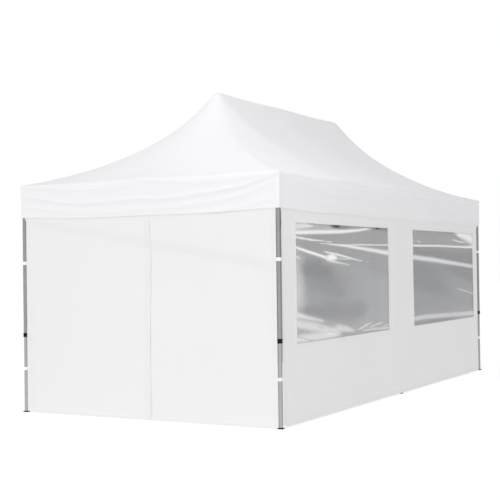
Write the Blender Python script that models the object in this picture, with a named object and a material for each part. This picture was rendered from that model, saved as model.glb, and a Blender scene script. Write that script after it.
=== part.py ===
# Pop-up marquee, 3 m by 6 m, shown put up and closed. Six telescopic legs carry a folding lattice
# of scissor bars. Three ridge poles stand on the lattice and hold up a sewn roof cover with a deep
# valance. Cloth walls hang behind the valance: the long ones have two clear windows each, the short
# ones part in the middle at a zip, and straps hold them round the corner legs.
# Metres, +Z up, X along the 6 m side. The origin is on the ground, in the middle of the floor.
# Front is the long side at -Y, left is the short side at -X.

import math

import bmesh
import bpy
from mathutils import Matrix, Vector

# Driving sizes of the whole tent
HALF_LENGTH = 3.0
HALF_WIDTH = 1.5
EAVE_HEIGHT = 2.33
VALANCE_DEPTH = 0.335
RIDGE_HEIGHT = 3.36
RIDGE_HALF = 1.5
CLOTH = 0.002
FILM = 0.001
TOUCH = 0.0003

# Legs: a square outer tube, a smaller square tube inside it, a foot plate and a latch collar
OUTER_TUBE = 0.035
INNER_TUBE = 0.031
TUBE_WALL = 0.0015
LEG_TOP = 2.29
OUTER_TUBE_BOTTOM = 0.778
INNER_TUBE_TOP = 1.12
CORNER_LEG_X = HALF_LENGTH - 0.0265
CORNER_LEG_Y = HALF_WIDTH - 0.0265
MIDDLE_LEG_Y = HALF_WIDTH - 0.029
FOOT_WIDTH = 0.056
FOOT_THICKNESS = 0.006
LATCH_WIDTH = 0.043
LATCH_BOTTOM = 0.770
LATCH_TOP = 0.812
KNOB_RADIUS = 0.008
KNOB_LENGTH = 0.012

# Scissor lattice: flat bars in pairs, plastic connectors on the legs and between the bars
UPPER_PIVOT = 2.290
LOWER_PIVOT = 2.026
BAR_DEPTH = 0.022
BAR_THICKNESS = 0.010
BAR_OFFSET = 0.0053
PIVOT_RADIUS = 0.006
PIVOT_LENGTH = 0.026
CONNECTOR_WIDTH = 0.060
CONNECTOR_DEPTH = 0.040
CONNECTOR_HEIGHT = 0.052
SLIDER_WIDTH = 0.048
SLIDER_HEIGHT = 0.050
SLIDER_BORE = OUTER_TUBE + 0.001
LUG_LENGTH = 0.030
LUG_WIDTH = 0.028
LUG_HEIGHT = 0.038
BRACKET_WIDTH = 0.044
BRACKET_TOP = 2.318
HUB_WIDTH = 0.066
POLE_WIDTH = 0.025
HUB_BORE = POLE_WIDTH + 0.001
CAP_RADIUS = 0.026
CAP_DOME = 0.025
CAP_HEIGHT = 0.040

# Roof cover: how the cloth falls from a peak to the eave, and how it hangs between its seams
FALL_TERMS = ((0.33, 1), (0.47, 2), (0.20, 6))
HIP_SHARPENING = 1.5
FACE_SAG = 0.03
RIDGE_SAG = 0.02
RIDGE_ROUNDING = 0.020
SLOPE_STOPS = (0.0, 0.0167, 0.05, 0.1, 0.2, 0.3, 0.4, 0.5, 0.6, 0.7, 0.8, 0.9, 1.0)
LONG_COLUMNS = 24
SHORT_COLUMNS = 12

# Walls
WALL_OUTER = CLOTH + TOUCH
WALL_TOP = 2.25
WALL_BOTTOM = 0.012
WALL_EDGE_GAP = 0.010
LIFTED_CORNER = (0.07, 0.020)
WINDOW_NEAR = 0.39
WINDOW_FAR = 2.675
WINDOW_BOTTOM = 0.745
WINDOW_TOP = 1.870
FILM_LAP = 0.015
ZIP_Y = -0.060
FLY_EDGES = (-0.090, -0.030)
FLY_TOP = 1.985
STRAP_HEIGHT = 0.032
UPPER_STRAP = 1.530
LOWER_STRAP = 0.446
STRAP_THICKNESS = 0.002
UPPER_STRAP_BORE = OUTER_TUBE + 0.0012
LOWER_STRAP_BORE = INNER_TUBE + 0.0020

LEGS = {
    "front_left": (-CORNER_LEG_X, -CORNER_LEG_Y),
    "front_middle": (0.0, -MIDDLE_LEG_Y),
    "front_right": (CORNER_LEG_X, -CORNER_LEG_Y),
    "back_left": (-CORNER_LEG_X, CORNER_LEG_Y),
    "back_middle": (0.0, MIDDLE_LEG_Y),
    "back_right": (CORNER_LEG_X, CORNER_LEG_Y),
}
HALF_TURN = math.pi


def clear_scene():
    for old in list(bpy.data.objects):
        bpy.data.objects.remove(old, do_unlink=True)


def finish(name, colour, roughness, metallic, alpha=1.0):
    made = bpy.data.materials.new(name)
    made.use_nodes = True
    shader = made.node_tree.nodes["Principled BSDF"]
    shader.inputs["Base Color"].default_value = (*colour, 1.0)
    shader.inputs["Roughness"].default_value = roughness
    shader.inputs["Metallic"].default_value = metallic
    shader.inputs["Alpha"].default_value = alpha
    return made


def place(name, mesh, material, at=(0.0, 0.0, 0.0), turn=0.0, carrier=None):
    """One named piece of the tent, from a mesh that other pieces may share."""
    if not mesh.materials:
        mesh.materials.append(material)
    piece = bpy.data.objects.new(name, mesh)
    bpy.context.scene.collection.objects.link(piece)
    piece.location = at
    piece.rotation_euler = (0.0, 0.0, turn)
    piece.parent = carrier
    return piece


def empty(name, at=(0.0, 0.0, 0.0)):
    made = bpy.data.objects.new(name, None)
    bpy.context.scene.collection.objects.link(made)
    made.location = at
    return made


def mesh_of(bm, name):
    bmesh.ops.recalc_face_normals(bm, faces=bm.faces)
    mesh = bpy.data.meshes.new(name)
    bm.to_mesh(mesh)
    bm.free()
    return mesh


def block(low, high):
    """A plain box between two corners."""
    bm = bmesh.new()
    bmesh.ops.create_cube(bm, size=1.0)
    size = [b - a for a, b in zip(low, high)]
    centre = [(a + b) / 2 for a, b in zip(low, high)]
    bmesh.ops.transform(bm, verts=bm.verts, matrix=Matrix.Translation(centre) @ Matrix.Diagonal((*size, 1.0)))
    return mesh_of(bm, "block")


def square_tube(outer, inner, bottom, top, centre=(0.0, 0.0)):
    """An upright tube of square section, open at both ends."""
    bm = bmesh.new()
    rings = []
    for half, z in ((outer / 2, bottom), (outer / 2, top), (inner / 2, top), (inner / 2, bottom)):
        corners = ((-half, -half), (half, -half), (half, half), (-half, half))
        rings.append([bm.verts.new((centre[0] + x, centre[1] + y, z)) for x, y in corners])
    for i, ring in enumerate(rings):
        following = rings[(i + 1) % len(rings)]
        for k in range(4):
            n = (k + 1) % 4
            bm.faces.new((ring[k], ring[n], following[n], following[k]))
    return mesh_of(bm, "tube")


def rod(start, end, radius, sides=8):
    """A round pin between two points."""
    bm = bmesh.new()
    start, end = Vector(start), Vector(end)
    length = (end - start).length
    turn = (end - start).to_track_quat("Z", "Y").to_matrix().to_4x4()
    where = Matrix.Translation((start + end) / 2) @ turn
    bmesh.ops.create_cone(
        bm, cap_ends=True, segments=sides, radius1=radius, radius2=radius, depth=length, matrix=where
    )
    return mesh_of(bm, "rod")


def turned(mesh, angle):
    """A copy of a mesh, turned about Z."""
    copy = mesh.copy()
    copy.transform(Matrix.Rotation(angle, 4, "Z"))
    return copy


def moved(mesh, offset):
    copy = mesh.copy()
    copy.transform(Matrix.Translation(offset))
    return copy


def fused(shapes):
    """The union of overlapping closed shapes, as one closed mesh."""
    tools = bpy.data.collections.new("joined shapes")
    helpers = [bpy.data.objects.new("shape", shape) for shape in shapes]
    base = helpers[0]
    bpy.context.scene.collection.objects.link(base)
    for helper in helpers[1:]:
        tools.objects.link(helper)
    join = base.modifiers.new("join", "BOOLEAN")
    join.operation = "UNION"
    join.operand_type = "COLLECTION"
    join.collection = tools
    joined = bpy.data.meshes.new_from_object(base.evaluated_get(bpy.context.evaluated_depsgraph_get()))
    for helper in helpers:
        bpy.data.objects.remove(helper, do_unlink=True)
    bpy.data.collections.remove(tools)
    return joined


# Legs


def foot_and_inner_tube():
    """The lower leg: its tube stands on a welded foot plate and reaches up inside the outer tube."""
    half = FOOT_WIDTH / 2
    plate = block((-half, -half, 0.0), (half, half, FOOT_THICKNESS))
    tube = square_tube(INNER_TUBE, INNER_TUBE - 2 * TUBE_WALL, FOOT_THICKNESS / 2, INNER_TUBE_TOP)
    return fused([plate, tube])


def latch(towards):
    """The black collar at the outer tube's lower end, with its pull knob on the side given by towards."""
    collar = square_tube(LATCH_WIDTH, OUTER_TUBE + 2 * TOUCH, LATCH_BOTTOM, LATCH_TOP)
    middle = (LATCH_BOTTOM + LATCH_TOP) / 2
    inside = LATCH_WIDTH / 2 - 0.002
    outside = LATCH_WIDTH / 2 + KNOB_LENGTH
    start = (towards[0] * inside, towards[1] * inside, middle)
    end = (towards[0] * outside, towards[1] * outside, middle)
    return fused([collar, rod(start, end, KNOB_RADIUS, sides=12)])


def make_legs(tube_finish, plastic, carrier):
    outer = square_tube(OUTER_TUBE, OUTER_TUBE - 2 * TUBE_WALL, OUTER_TUBE_BOTTOM, LEG_TOP)
    inner = foot_and_inner_tube()
    corner_latch = latch((1.0, 0.0))
    middle_latch = latch((0.0, 1.0))
    for name, (x, y) in LEGS.items():
        place(f"outer_leg_{name}", outer, tube_finish, (x, y, 0.0), carrier=carrier)
        axis = empty(f"lower_leg_{name}", (x, y, 0.0))
        place(f"inner_leg_{name}", inner, tube_finish, carrier=axis)
        on_a_corner = abs(x) > 0.0
        side = HALF_TURN if (x < 0 if on_a_corner else y > 0) else 0.0
        collar = corner_latch if on_a_corner else middle_latch
        place(f"latch_{name}", collar, plastic, (x, y, 0.0), side, carrier)


# Scissor lattice. A lattice side is first drawn along X, in the plane Y = 0, and then put in place.


def scissor_bar(x_start, z_start, x_end, z_end, y_middle):
    """A flat bar in a vertical plane, with its ends cut upright."""
    slope = math.atan2(z_end - z_start, x_end - x_start)
    rise = BAR_DEPTH / 2 / math.cos(slope)
    half = BAR_THICKNESS / 2
    bm = bmesh.new()
    ends = []
    for x, z in ((x_start, z_start), (x_end, z_end)):
        section = ((-half, -rise), (half, -rise), (half, rise), (-half, rise))
        ends.append([bm.verts.new((x, y_middle + dy, z + dz)) for dy, dz in section])
    near, far = ends
    bm.faces.new(near)
    bm.faces.new(far)
    for k in range(4):
        n = (k + 1) % 4
        bm.faces.new((near[k], near[n], far[n], far[k]))
    return mesh_of(bm, "bar")


def scissor(x_start, x_end):
    """Two crossed bars and the pin they turn on."""
    middle = ((x_start + x_end) / 2, (UPPER_PIVOT + LOWER_PIVOT) / 2)
    return [
        scissor_bar(x_start, LOWER_PIVOT, x_end, UPPER_PIVOT, -BAR_OFFSET),
        scissor_bar(x_start, UPPER_PIVOT, x_end, LOWER_PIVOT, BAR_OFFSET),
        rod((middle[0], -PIVOT_LENGTH / 2, middle[1]), (middle[0], PIVOT_LENGTH / 2, middle[1]), PIVOT_RADIUS),
    ]


def connectors_between_bars(x):
    """The upper and lower plastic blocks where two scissors meet, away from a leg."""
    across, deep, tall = CONNECTOR_WIDTH / 2, CONNECTOR_DEPTH / 2, CONNECTOR_HEIGHT / 2
    return [
        block((x - across, -deep, z - tall), (x + across, deep, z + tall))
        for z in (LOWER_PIVOT, UPPER_PIVOT)
    ]


def leg_fittings(x, y, lugs):
    """The slider round the outer tube and the bracket on its top, with a lug towards each scissor."""
    slider_low = LOWER_PIVOT - SLIDER_HEIGHT / 2
    shapes = [square_tube(SLIDER_WIDTH, SLIDER_BORE, slider_low, slider_low + SLIDER_HEIGHT, (x, y))]
    half = BRACKET_WIDTH / 2
    shapes.append(block((x - half, y - half, LEG_TOP + TOUCH), (x + half, y + half, BRACKET_TOP)))
    for dx, dy in lugs:
        for z, face in ((LOWER_PIVOT, SLIDER_WIDTH / 2), (UPPER_PIVOT, BRACKET_WIDTH / 2)):
            root = face - 0.0025
            tip = SLIDER_WIDTH / 2 + LUG_LENGTH
            side = LUG_WIDTH / 2
            ends = ((x + dx * root, y + dy * root), (x + dx * tip, y + dy * tip))
            low = (min(e[0] for e in ends) - side * abs(dy), min(e[1] for e in ends) - side * abs(dx), z - LUG_HEIGHT / 2)
            high = (max(e[0] for e in ends) + side * abs(dy), max(e[1] for e in ends) + side * abs(dx), z + LUG_HEIGHT / 2)
            shapes.append(block(low, high))
    return shapes


def long_side_lattice():
    """The front lattice: four scissors from corner leg to corner leg, past the middle leg."""
    lug_tip = SLIDER_WIDTH / 2 + LUG_LENGTH
    inside = 0.012
    y = -CORNER_LEG_Y
    stops = [
        (-CORNER_LEG_X + lug_tip - inside, -RIDGE_HALF - CONNECTOR_WIDTH / 2 + inside),
        (-RIDGE_HALF + CONNECTOR_WIDTH / 2 - inside, -lug_tip + inside),
    ]
    stops += [(-b, -a) for a, b in reversed(stops)]
    shapes = [shape for stop in stops for shape in scissor(*stop)]
    shapes += connectors_between_bars(-RIDGE_HALF) + connectors_between_bars(RIDGE_HALF)
    shapes = [moved(shape, (0.0, y, 0.0)) for shape in shapes]
    shapes += leg_fittings(-CORNER_LEG_X, y, ((1, 0), (0, 1)))
    shapes += leg_fittings(CORNER_LEG_X, y, ((-1, 0), (0, 1)))
    shapes += leg_fittings(0.0, -MIDDLE_LEG_Y, ((1, 0), (-1, 0)))
    return fused(shapes)


def short_side_lattice():
    """The left lattice: two scissors between the corner fittings, with their own middle connectors."""
    end = CORNER_LEG_Y - SLIDER_WIDTH / 2 - LUG_LENGTH - TOUCH
    near = CONNECTOR_WIDTH / 2 - 0.012
    shapes = scissor(-end, -near) + scissor(near, end) + connectors_between_bars(0.0)
    joined = turned(fused(shapes), math.pi / 2)
    joined.transform(Matrix.Translation((-CORNER_LEG_X, 0.0, 0.0)))
    return joined


def hubs():
    """The upper and lower blocks that a ridge pole stands in."""
    return [
        square_tube(HUB_WIDTH, HUB_BORE, z - CONNECTOR_HEIGHT / 2, z + CONNECTOR_HEIGHT / 2)
        for z in (LOWER_PIVOT, UPPER_PIVOT)
    ]


def cross_lattice(end):
    """Two scissors across the tent, through the hubs of a ridge pole, to the fittings of the long sides."""
    near = HUB_WIDTH / 2 - 0.008
    shapes = hubs() + scissor(-end, -near) + scissor(near, end)
    return turned(fused(shapes), math.pi / 2)


def ridge_scissor(start, end):
    return fused(scissor(start, end))


def make_lattice(bars, carrier):
    long_side = long_side_lattice()
    place("front_lattice", long_side, bars, carrier=carrier)
    place("back_lattice", long_side, bars, turn=HALF_TURN, carrier=carrier)
    short_side = short_side_lattice()
    place("left_lattice", short_side, bars, carrier=carrier)
    place("right_lattice", short_side, bars, turn=HALF_TURN, carrier=carrier)
    to_connectors = cross_lattice(CORNER_LEG_Y - CONNECTOR_DEPTH / 2 - TOUCH)
    to_middle_legs = cross_lattice(MIDDLE_LEG_Y - SLIDER_WIDTH / 2 - TOUCH)
    place("cross_lattice_left", to_connectors, bars, (-RIDGE_HALF, 0.0, 0.0), carrier=carrier)
    place("cross_lattice_middle", to_middle_legs, bars, carrier=carrier)
    place("cross_lattice_right", to_connectors, bars, (RIDGE_HALF, 0.0, 0.0), carrier=carrier)
    beside_hub = HUB_WIDTH / 2 + TOUCH
    outer_end = CORNER_LEG_X - CONNECTOR_DEPTH / 2 - TOUCH
    outer = ridge_scissor(RIDGE_HALF + beside_hub, outer_end)
    inner = ridge_scissor(beside_hub, RIDGE_HALF - beside_hub)
    place("ridge_scissor_right_end", outer, bars, carrier=carrier)
    place("ridge_scissor_right", inner, bars, carrier=carrier)
    place("ridge_scissor_left", inner, bars, turn=HALF_TURN, carrier=carrier)
    place("ridge_scissor_left_end", outer, bars, turn=HALF_TURN, carrier=carrier)


# Ridge poles


def ridge_pole():
    """A square pole in its hubs, with a round cap that the cloth lies on."""
    foot = LOWER_PIVOT - CONNECTOR_HEIGHT / 2
    cap_top = RIDGE_HEIGHT - CLOTH - TOUCH
    cap_foot = cap_top - CAP_HEIGHT
    half = POLE_WIDTH / 2
    shaft = block((-half, -half, foot), (half, half, cap_foot + 0.004))
    profile = [(0.0, cap_foot), (CAP_RADIUS * 0.85, cap_foot), (CAP_RADIUS, cap_top - CAP_DOME), (0.0, cap_top)]
    bm = bmesh.new()
    points = [bm.verts.new((radius, 0.0, z)) for radius, z in profile]
    edges = [bm.edges.new(pair) for pair in zip(points, points[1:])]
    bmesh.ops.spin(bm, geom=points + edges, axis=(0, 0, 1), cent=(0, 0, 0), steps=12, angle=2 * math.pi)
    bmesh.ops.remove_doubles(bm, verts=bm.verts, dist=1e-6)
    return fused([shaft, mesh_of(bm, "cap")])


def make_ridge_poles(tube_finish, carrier):
    pole = ridge_pole()
    for name, x in (("left", -RIDGE_HALF), ("middle", 0.0), ("right", RIDGE_HALF)):
        place(f"ridge_pole_{name}", pole, tube_finish, (x, 0.0, 0.0), carrier=carrier)


# Roof cover


def roof_height(x, y):
    """Height of the cloth's upper face. It drops steeply from the ridge and flattens to the eave."""
    along = max(0.0, abs(x) - RIDGE_HALF) / (HALF_LENGTH - RIDGE_HALF)
    across = abs(y) / HALF_WIDTH
    square = min(1.0, max(along, across))
    conical = math.hypot(along, across) / math.sqrt(2)
    out = conical + (square - conical) * square**HIP_SHARPENING
    full = math.hypot(1.0, RIDGE_ROUNDING) - RIDGE_ROUNDING
    up = 1.0 - (math.hypot(out, RIDGE_ROUNDING) - RIDGE_ROUNDING) / full
    height = EAVE_HEIGHT + (RIDGE_HEIGHT - EAVE_HEIGHT) * sum(share * up**power for share, power in FALL_TERMS)
    between_poles = math.sin(math.pi * min(abs(x), RIDGE_HALF) / RIDGE_HALF) ** 2
    return height - between_poles * (RIDGE_SAG * up**2 + FACE_SAG * 4 * out * up)


def cloth_panel(ridge_half, eave_half, depth, columns, height_at):
    """One panel of the roof with its valance, drawn facing -Y: ridge or peak at y = 0, eave at y = -depth."""
    bm = bmesh.new()
    outer, inner = [], []
    for row, share in enumerate((*SLOPE_STOPS, 1.0)):
        in_valance = row == len(SLOPE_STOPS)
        at_eave = share == 1.0
        reach = ridge_half + (eave_half - ridge_half) * share
        reach = max(0.0, reach - TOUCH)
        y = -max(TOUCH, depth * share)
        upper, lower = [], []
        for column in range(columns + 1):
            x = reach * (2 * column / columns - 1)
            z = EAVE_HEIGHT - VALANCE_DEPTH if in_valance else height_at(x, y)
            upper.append(bm.verts.new((x, y, z)))
            inside_x = x * (reach - CLOTH) / reach if at_eave else x
            inside_y = y + CLOTH if at_eave else y
            lower.append(bm.verts.new((inside_x, inside_y, z if in_valance else z - CLOTH)))
        outer.append(upper)
        inner.append(lower)
    rows = len(outer)
    for r in range(rows - 1):
        for c in range(columns):
            bm.faces.new((outer[r][c], outer[r + 1][c], outer[r + 1][c + 1], outer[r][c + 1]))
            bm.faces.new((inner[r][c], inner[r][c + 1], inner[r + 1][c + 1], inner[r + 1][c]))
        for c in (0, columns):
            bm.faces.new((outer[r][c], inner[r][c], inner[r + 1][c], outer[r + 1][c]))
    for r in (0, rows - 1):
        for c in range(columns):
            bm.faces.new((outer[r][c], outer[r][c + 1], inner[r][c + 1], inner[r][c]))
    bmesh.ops.remove_doubles(bm, verts=bm.verts, dist=1e-5)
    bmesh.ops.dissolve_degenerate(bm, dist=1e-6, edges=bm.edges)
    return mesh_of(bm, "roof panel")


def make_roof(cloth, carrier):
    long_panel = cloth_panel(RIDGE_HALF, HALF_LENGTH, HALF_WIDTH, LONG_COLUMNS, roof_height)
    place("roof_front", long_panel, cloth, carrier=carrier)
    place("roof_back", long_panel, cloth, turn=HALF_TURN, carrier=carrier)
    # An end panel is drawn facing -Y, so its x runs along the tent's width and its y away from the peak.
    end_depth = HALF_LENGTH - RIDGE_HALF

    def end_height(x, y):
        return roof_height(RIDGE_HALF - y, x)

    end_panel = cloth_panel(0.0, HALF_WIDTH, end_depth, SHORT_COLUMNS, end_height)
    end_panel.transform(Matrix.Translation((0.0, -RIDGE_HALF, 0.0)))
    place("roof_left", end_panel, cloth, turn=-math.pi / 2, carrier=carrier)
    place("roof_right", end_panel, cloth, turn=math.pi / 2, carrier=carrier)


# Walls. Each is drawn facing -Y and then turned to its side.


def hanging_sheet(across, heights, is_open, outer_y, thickness):
    """A flat upright sheet with its outer face at outer_y. Cells that is_open picks are left out."""
    bm = bmesh.new()
    grid = [[bm.verts.new((x, outer_y, z)) for z in heights] for x in across]
    for i in range(len(across) - 1):
        for k in range(len(heights) - 1):
            if is_open(across[i], across[i + 1], heights[k], heights[k + 1]):
                continue
            bm.faces.new((grid[i][k], grid[i + 1][k], grid[i + 1][k + 1], grid[i][k + 1]))
    bmesh.ops.delete(bm, geom=[v for v in bm.verts if not v.link_faces], context="VERTS")
    faces = bm.faces[:]
    made = bmesh.ops.extrude_face_region(bm, geom=faces, use_keep_orig=True)
    back = [v for v in made["geom"] if isinstance(v, bmesh.types.BMVert)]
    bmesh.ops.translate(bm, verts=back, vec=(0.0, thickness, 0.0))
    return bm


def window_wall():
    """The long wall: one sheet with two window openings and its lower corners lifted off the ground."""
    edge = CORNER_LEG_X - OUTER_TUBE / 2 - WALL_EDGE_GAP
    cut_along, cut_up = LIFTED_CORNER
    across = [-edge, -edge + cut_along, -WINDOW_FAR, -WINDOW_NEAR, WINDOW_NEAR, WINDOW_FAR, edge - cut_along, edge]
    heights = [WALL_BOTTOM, WINDOW_BOTTOM, WINDOW_TOP, WALL_TOP]

    def is_window(x0, x1, z0, z1):
        beside = WINDOW_NEAR <= abs(x0 + x1) / 2 <= WINDOW_FAR
        return beside and WINDOW_BOTTOM <= (z0 + z1) / 2 <= WINDOW_TOP and x1 - x0 > 1.0

    bm = hanging_sheet(across, heights, is_window, -HALF_WIDTH + WALL_OUTER, CLOTH)
    for v in bm.verts:
        if abs(v.co.x) > edge - 1e-5 and v.co.z < WALL_BOTTOM + 1e-5:
            v.co.z += cut_up
    return mesh_of(bm, "window wall")


def window_film():
    """The clear sheet welded behind a window opening, lapping it all round."""
    across = [-(WINDOW_FAR - WINDOW_NEAR) / 2 - FILM_LAP, (WINDOW_FAR - WINDOW_NEAR) / 2 + FILM_LAP]
    heights = [WINDOW_BOTTOM - FILM_LAP, WINDOW_TOP + FILM_LAP]
    outer_y = -HALF_WIDTH + WALL_OUTER + CLOTH + TOUCH
    return mesh_of(hanging_sheet(across, heights, lambda *cell: False, outer_y, FILM), "window film")


def strap_round_leg(side, height, bore):
    """A strap sewn to a short wall's edge and closed round the corner leg. side is -1 or 1, along the wall."""
    low, high = height - STRAP_HEIGHT / 2, height + STRAP_HEIGHT / 2
    leg = (side * CORNER_LEG_Y, -CORNER_LEG_X)
    outer = bore + 2 * STRAP_THICKNESS
    loop = square_tube(outer, bore, low, high, leg)
    wall_edge = side * (CORNER_LEG_Y - OUTER_TUBE / 2 - WALL_EDGE_GAP)
    ends = sorted((leg[0] - side * bore / 2, wall_edge - side * 0.012))
    face = leg[1] - outer / 2
    outward = -HALF_LENGTH + WALL_OUTER
    tab_low, tab_high = low + 0.001, high - 0.001
    tab = block((ends[0], outward + 0.0004, tab_low), (ends[1], face + STRAP_THICKNESS * 0.8, tab_high))
    return [loop, tab]


def door_half(start, end, leg_side, with_fly):
    """One half of a short wall, from the zip to its corner leg, with the two straps of that leg."""
    bm = hanging_sheet([start, end], [WALL_BOTTOM, WALL_TOP], lambda *cell: False, -HALF_LENGTH + WALL_OUTER, CLOTH)
    shapes = [mesh_of(bm, "door half")]
    if with_fly:
        free_edge, sewn_edge = (-y for y in FLY_EDGES)
        outward = -HALF_LENGTH + TOUCH
        inward = -HALF_LENGTH + WALL_OUTER - TOUCH
        low = (sewn_edge, outward, WALL_BOTTOM + 0.003)
        high = (free_edge, inward, FLY_TOP)
        seam_low = (sewn_edge + 0.003, inward - 0.001, WALL_BOTTOM + 0.006)
        seam_high = (sewn_edge + 0.010, inward + 0.0015, FLY_TOP - 0.003)
        shapes += [block(low, high), block(seam_low, seam_high)]
    shapes += strap_round_leg(leg_side, UPPER_STRAP, UPPER_STRAP_BORE)
    shapes += strap_round_leg(leg_side, LOWER_STRAP, LOWER_STRAP_BORE)
    return fused(shapes)


def make_walls(cloth, film, carrier):
    long_wall = window_wall()
    place("wall_front", long_wall, cloth, carrier=carrier)
    place("wall_back", long_wall, cloth, turn=HALF_TURN, carrier=carrier)
    pane = window_film()
    middle = (WINDOW_NEAR + WINDOW_FAR) / 2
    for side, turn in (("front", 0.0), ("back", HALF_TURN)):
        for name, x in (("left", -middle), ("right", middle)):
            place(f"window_{side}_{name}", pane, film, (x, 0.0, 0.0), turn, carrier)
    edge = CORNER_LEG_Y - OUTER_TUBE / 2 - WALL_EDGE_GAP
    # Drawn facing -Y, a door's +X end comes to the front leg on the left wall, and its -X end to the back leg.
    by_front_leg = door_half(-ZIP_Y + TOUCH / 2, edge, 1, False)
    by_back_leg = door_half(-edge, -ZIP_Y - TOUCH / 2, -1, True)
    place("wall_left_front_half", by_front_leg, cloth, turn=-math.pi / 2, carrier=carrier)
    place("wall_left_back_half", by_back_leg, cloth, turn=-math.pi / 2, carrier=carrier)
    place("wall_right_back_half", by_front_leg, cloth, turn=math.pi / 2, carrier=carrier)
    place("wall_right_front_half", by_back_leg, cloth, turn=math.pi / 2, carrier=carrier)


def build():
    clear_scene()
    cloth = finish("white polyester", (0.86, 0.86, 0.87), 0.75, 0.0)
    film = finish("clear window film", (0.62, 0.63, 0.64), 0.12, 0.0, 0.45)
    tube_finish = finish("aluminium tube", (0.58, 0.59, 0.60), 0.35, 1.0)
    bars = finish("lattice bar", (0.60, 0.61, 0.62), 0.40, 1.0)
    plastic = finish("black plastic", (0.02, 0.02, 0.02), 0.5, 0.0)
    tent = empty("raised_tent")
    make_legs(tube_finish, plastic, tent)
    make_lattice(bars, tent)
    make_ridge_poles(tube_finish, tent)
    make_roof(cloth, tent)
    make_walls(cloth, film, tent)


build()
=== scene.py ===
# Pop-up marquee of 3 m by 6 m, put up and closed: the finish of every piece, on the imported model.

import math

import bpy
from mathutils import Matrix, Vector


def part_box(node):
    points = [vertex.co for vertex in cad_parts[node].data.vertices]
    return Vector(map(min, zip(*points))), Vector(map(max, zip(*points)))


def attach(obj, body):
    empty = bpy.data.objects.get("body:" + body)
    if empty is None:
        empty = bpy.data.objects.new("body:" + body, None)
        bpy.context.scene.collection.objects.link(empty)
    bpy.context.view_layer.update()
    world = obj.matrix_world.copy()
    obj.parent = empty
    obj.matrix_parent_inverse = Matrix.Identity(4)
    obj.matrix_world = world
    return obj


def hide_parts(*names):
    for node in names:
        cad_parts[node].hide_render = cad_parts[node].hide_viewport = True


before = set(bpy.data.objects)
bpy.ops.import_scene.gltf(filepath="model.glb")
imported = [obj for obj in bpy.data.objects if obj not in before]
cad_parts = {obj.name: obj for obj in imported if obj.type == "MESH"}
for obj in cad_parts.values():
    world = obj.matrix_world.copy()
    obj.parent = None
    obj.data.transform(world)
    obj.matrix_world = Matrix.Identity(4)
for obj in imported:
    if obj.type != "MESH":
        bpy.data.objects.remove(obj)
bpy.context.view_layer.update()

# Camera
# The photograph is taken from off the front left corner, just above the window sills, with a long
# lens. Its frame was sheared afterwards, so a small roll shares out what a real camera can't repeat.

CAMERA_PLACE = (-11.776, -6.036, 1.474)
YAW, PITCH, ROLL = (math.radians(angle) for angle in (61.111, 0.823, -0.75))
FOCAL_PIXELS, PHOTO_PIXELS, SENSOR_WIDTH = 1097.3, 500, 36.0


def in_scene(name, data):
    made = bpy.data.objects.new(name, data)
    bpy.context.scene.collection.objects.link(made)
    return made


lens = bpy.data.cameras.new("camera")
lens.sensor_width = SENSOR_WIDTH
lens.lens = FOCAL_PIXELS / PHOTO_PIXELS * SENSOR_WIDTH
lens.clip_end = 200.0
camera = in_scene("camera", lens)
facing = Matrix.Rotation(-YAW, 4, "Z") @ Matrix.Rotation(math.pi / 2 + PITCH, 4, "X")
camera.matrix_world = Matrix.Translation(CAMERA_PLACE) @ facing @ Matrix.Rotation(ROLL, 4, "Z")
bpy.context.scene.camera = camera

# Light and floor
# A white studio: an even white surround, a broad soft light from the left and a soft box high beside
# the near corner, so that the long side grows darker towards its far end. The floor is white too.

from functools import partial

SKY_TO_THE_EYE, SKY_AS_LIGHT = 1.0, 0.677
KEY_FROM, KEY_STRENGTH, KEY_SPREAD = Vector((-0.78, 0.10, 0.62)), 0.942, math.radians(70)
BOX_PLACE, BOX_AIM = Vector((-3.8, -3.0, 5.5)), Vector((-1.6, -0.8, 2.5))
BOX_SIZE, BOX_POWER = 2.2, 46.5
FLOOR_RADIUS, FLOOR_SIDES, FLOOR_GLOW = 60.0, 64, 0.62
WHITE = "#FFFFFF"


def linear(hex_colour):
    """An sRGB hex colour as the linear values that a shader takes."""
    shares = [int(hex_colour[i:i + 2], 16) / 255 for i in (1, 3, 5)]
    return (*(c / 12.92 if c <= 0.04045 else ((c + 0.055) / 1.055) ** 2.4 for c in shares), 1.0)


def add_node(tree, kind, sockets={}, **settings):
    """A node in a tree. A socket takes a value, another node's output, or a node for its first output."""
    node = tree.nodes.new(kind)
    for name, value in settings.items():
        setattr(node, name, value)
    for name, value in sockets.items():
        if isinstance(value, bpy.types.Node):
            value = value.outputs[0]
        if isinstance(value, bpy.types.NodeSocket):
            tree.links.new(value, node.inputs[name])
        else:
            node.inputs[name].default_value = value
    return node


def finish(name, slot, build, *looks):
    """A material. Its slot argument is not used. build adds its nodes and returns the shader of its surface.
    """
    made = bpy.data.materials.new(name)
    made.use_nodes = True
    made.node_tree.nodes.clear()
    add = partial(add_node, made.node_tree)
    place = add("ShaderNodeTexCoord").outputs["Object"]
    add("ShaderNodeOutputMaterial", {"Surface": build(add, place, *looks)})
    return made


def white_paper(add, place):
    """The floor glows a little, as paper on a lit table does, so that it stays white beside its shadows."""
    matt = add("ShaderNodeBsdfDiffuse", {"Color": linear(WHITE)})
    glow = add("ShaderNodeEmission", {"Color": linear(WHITE), "Strength": 1.13})
    return add("ShaderNodeMixShader", {0: FLOOR_GLOW, 1: matt, 2: glow})


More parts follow.
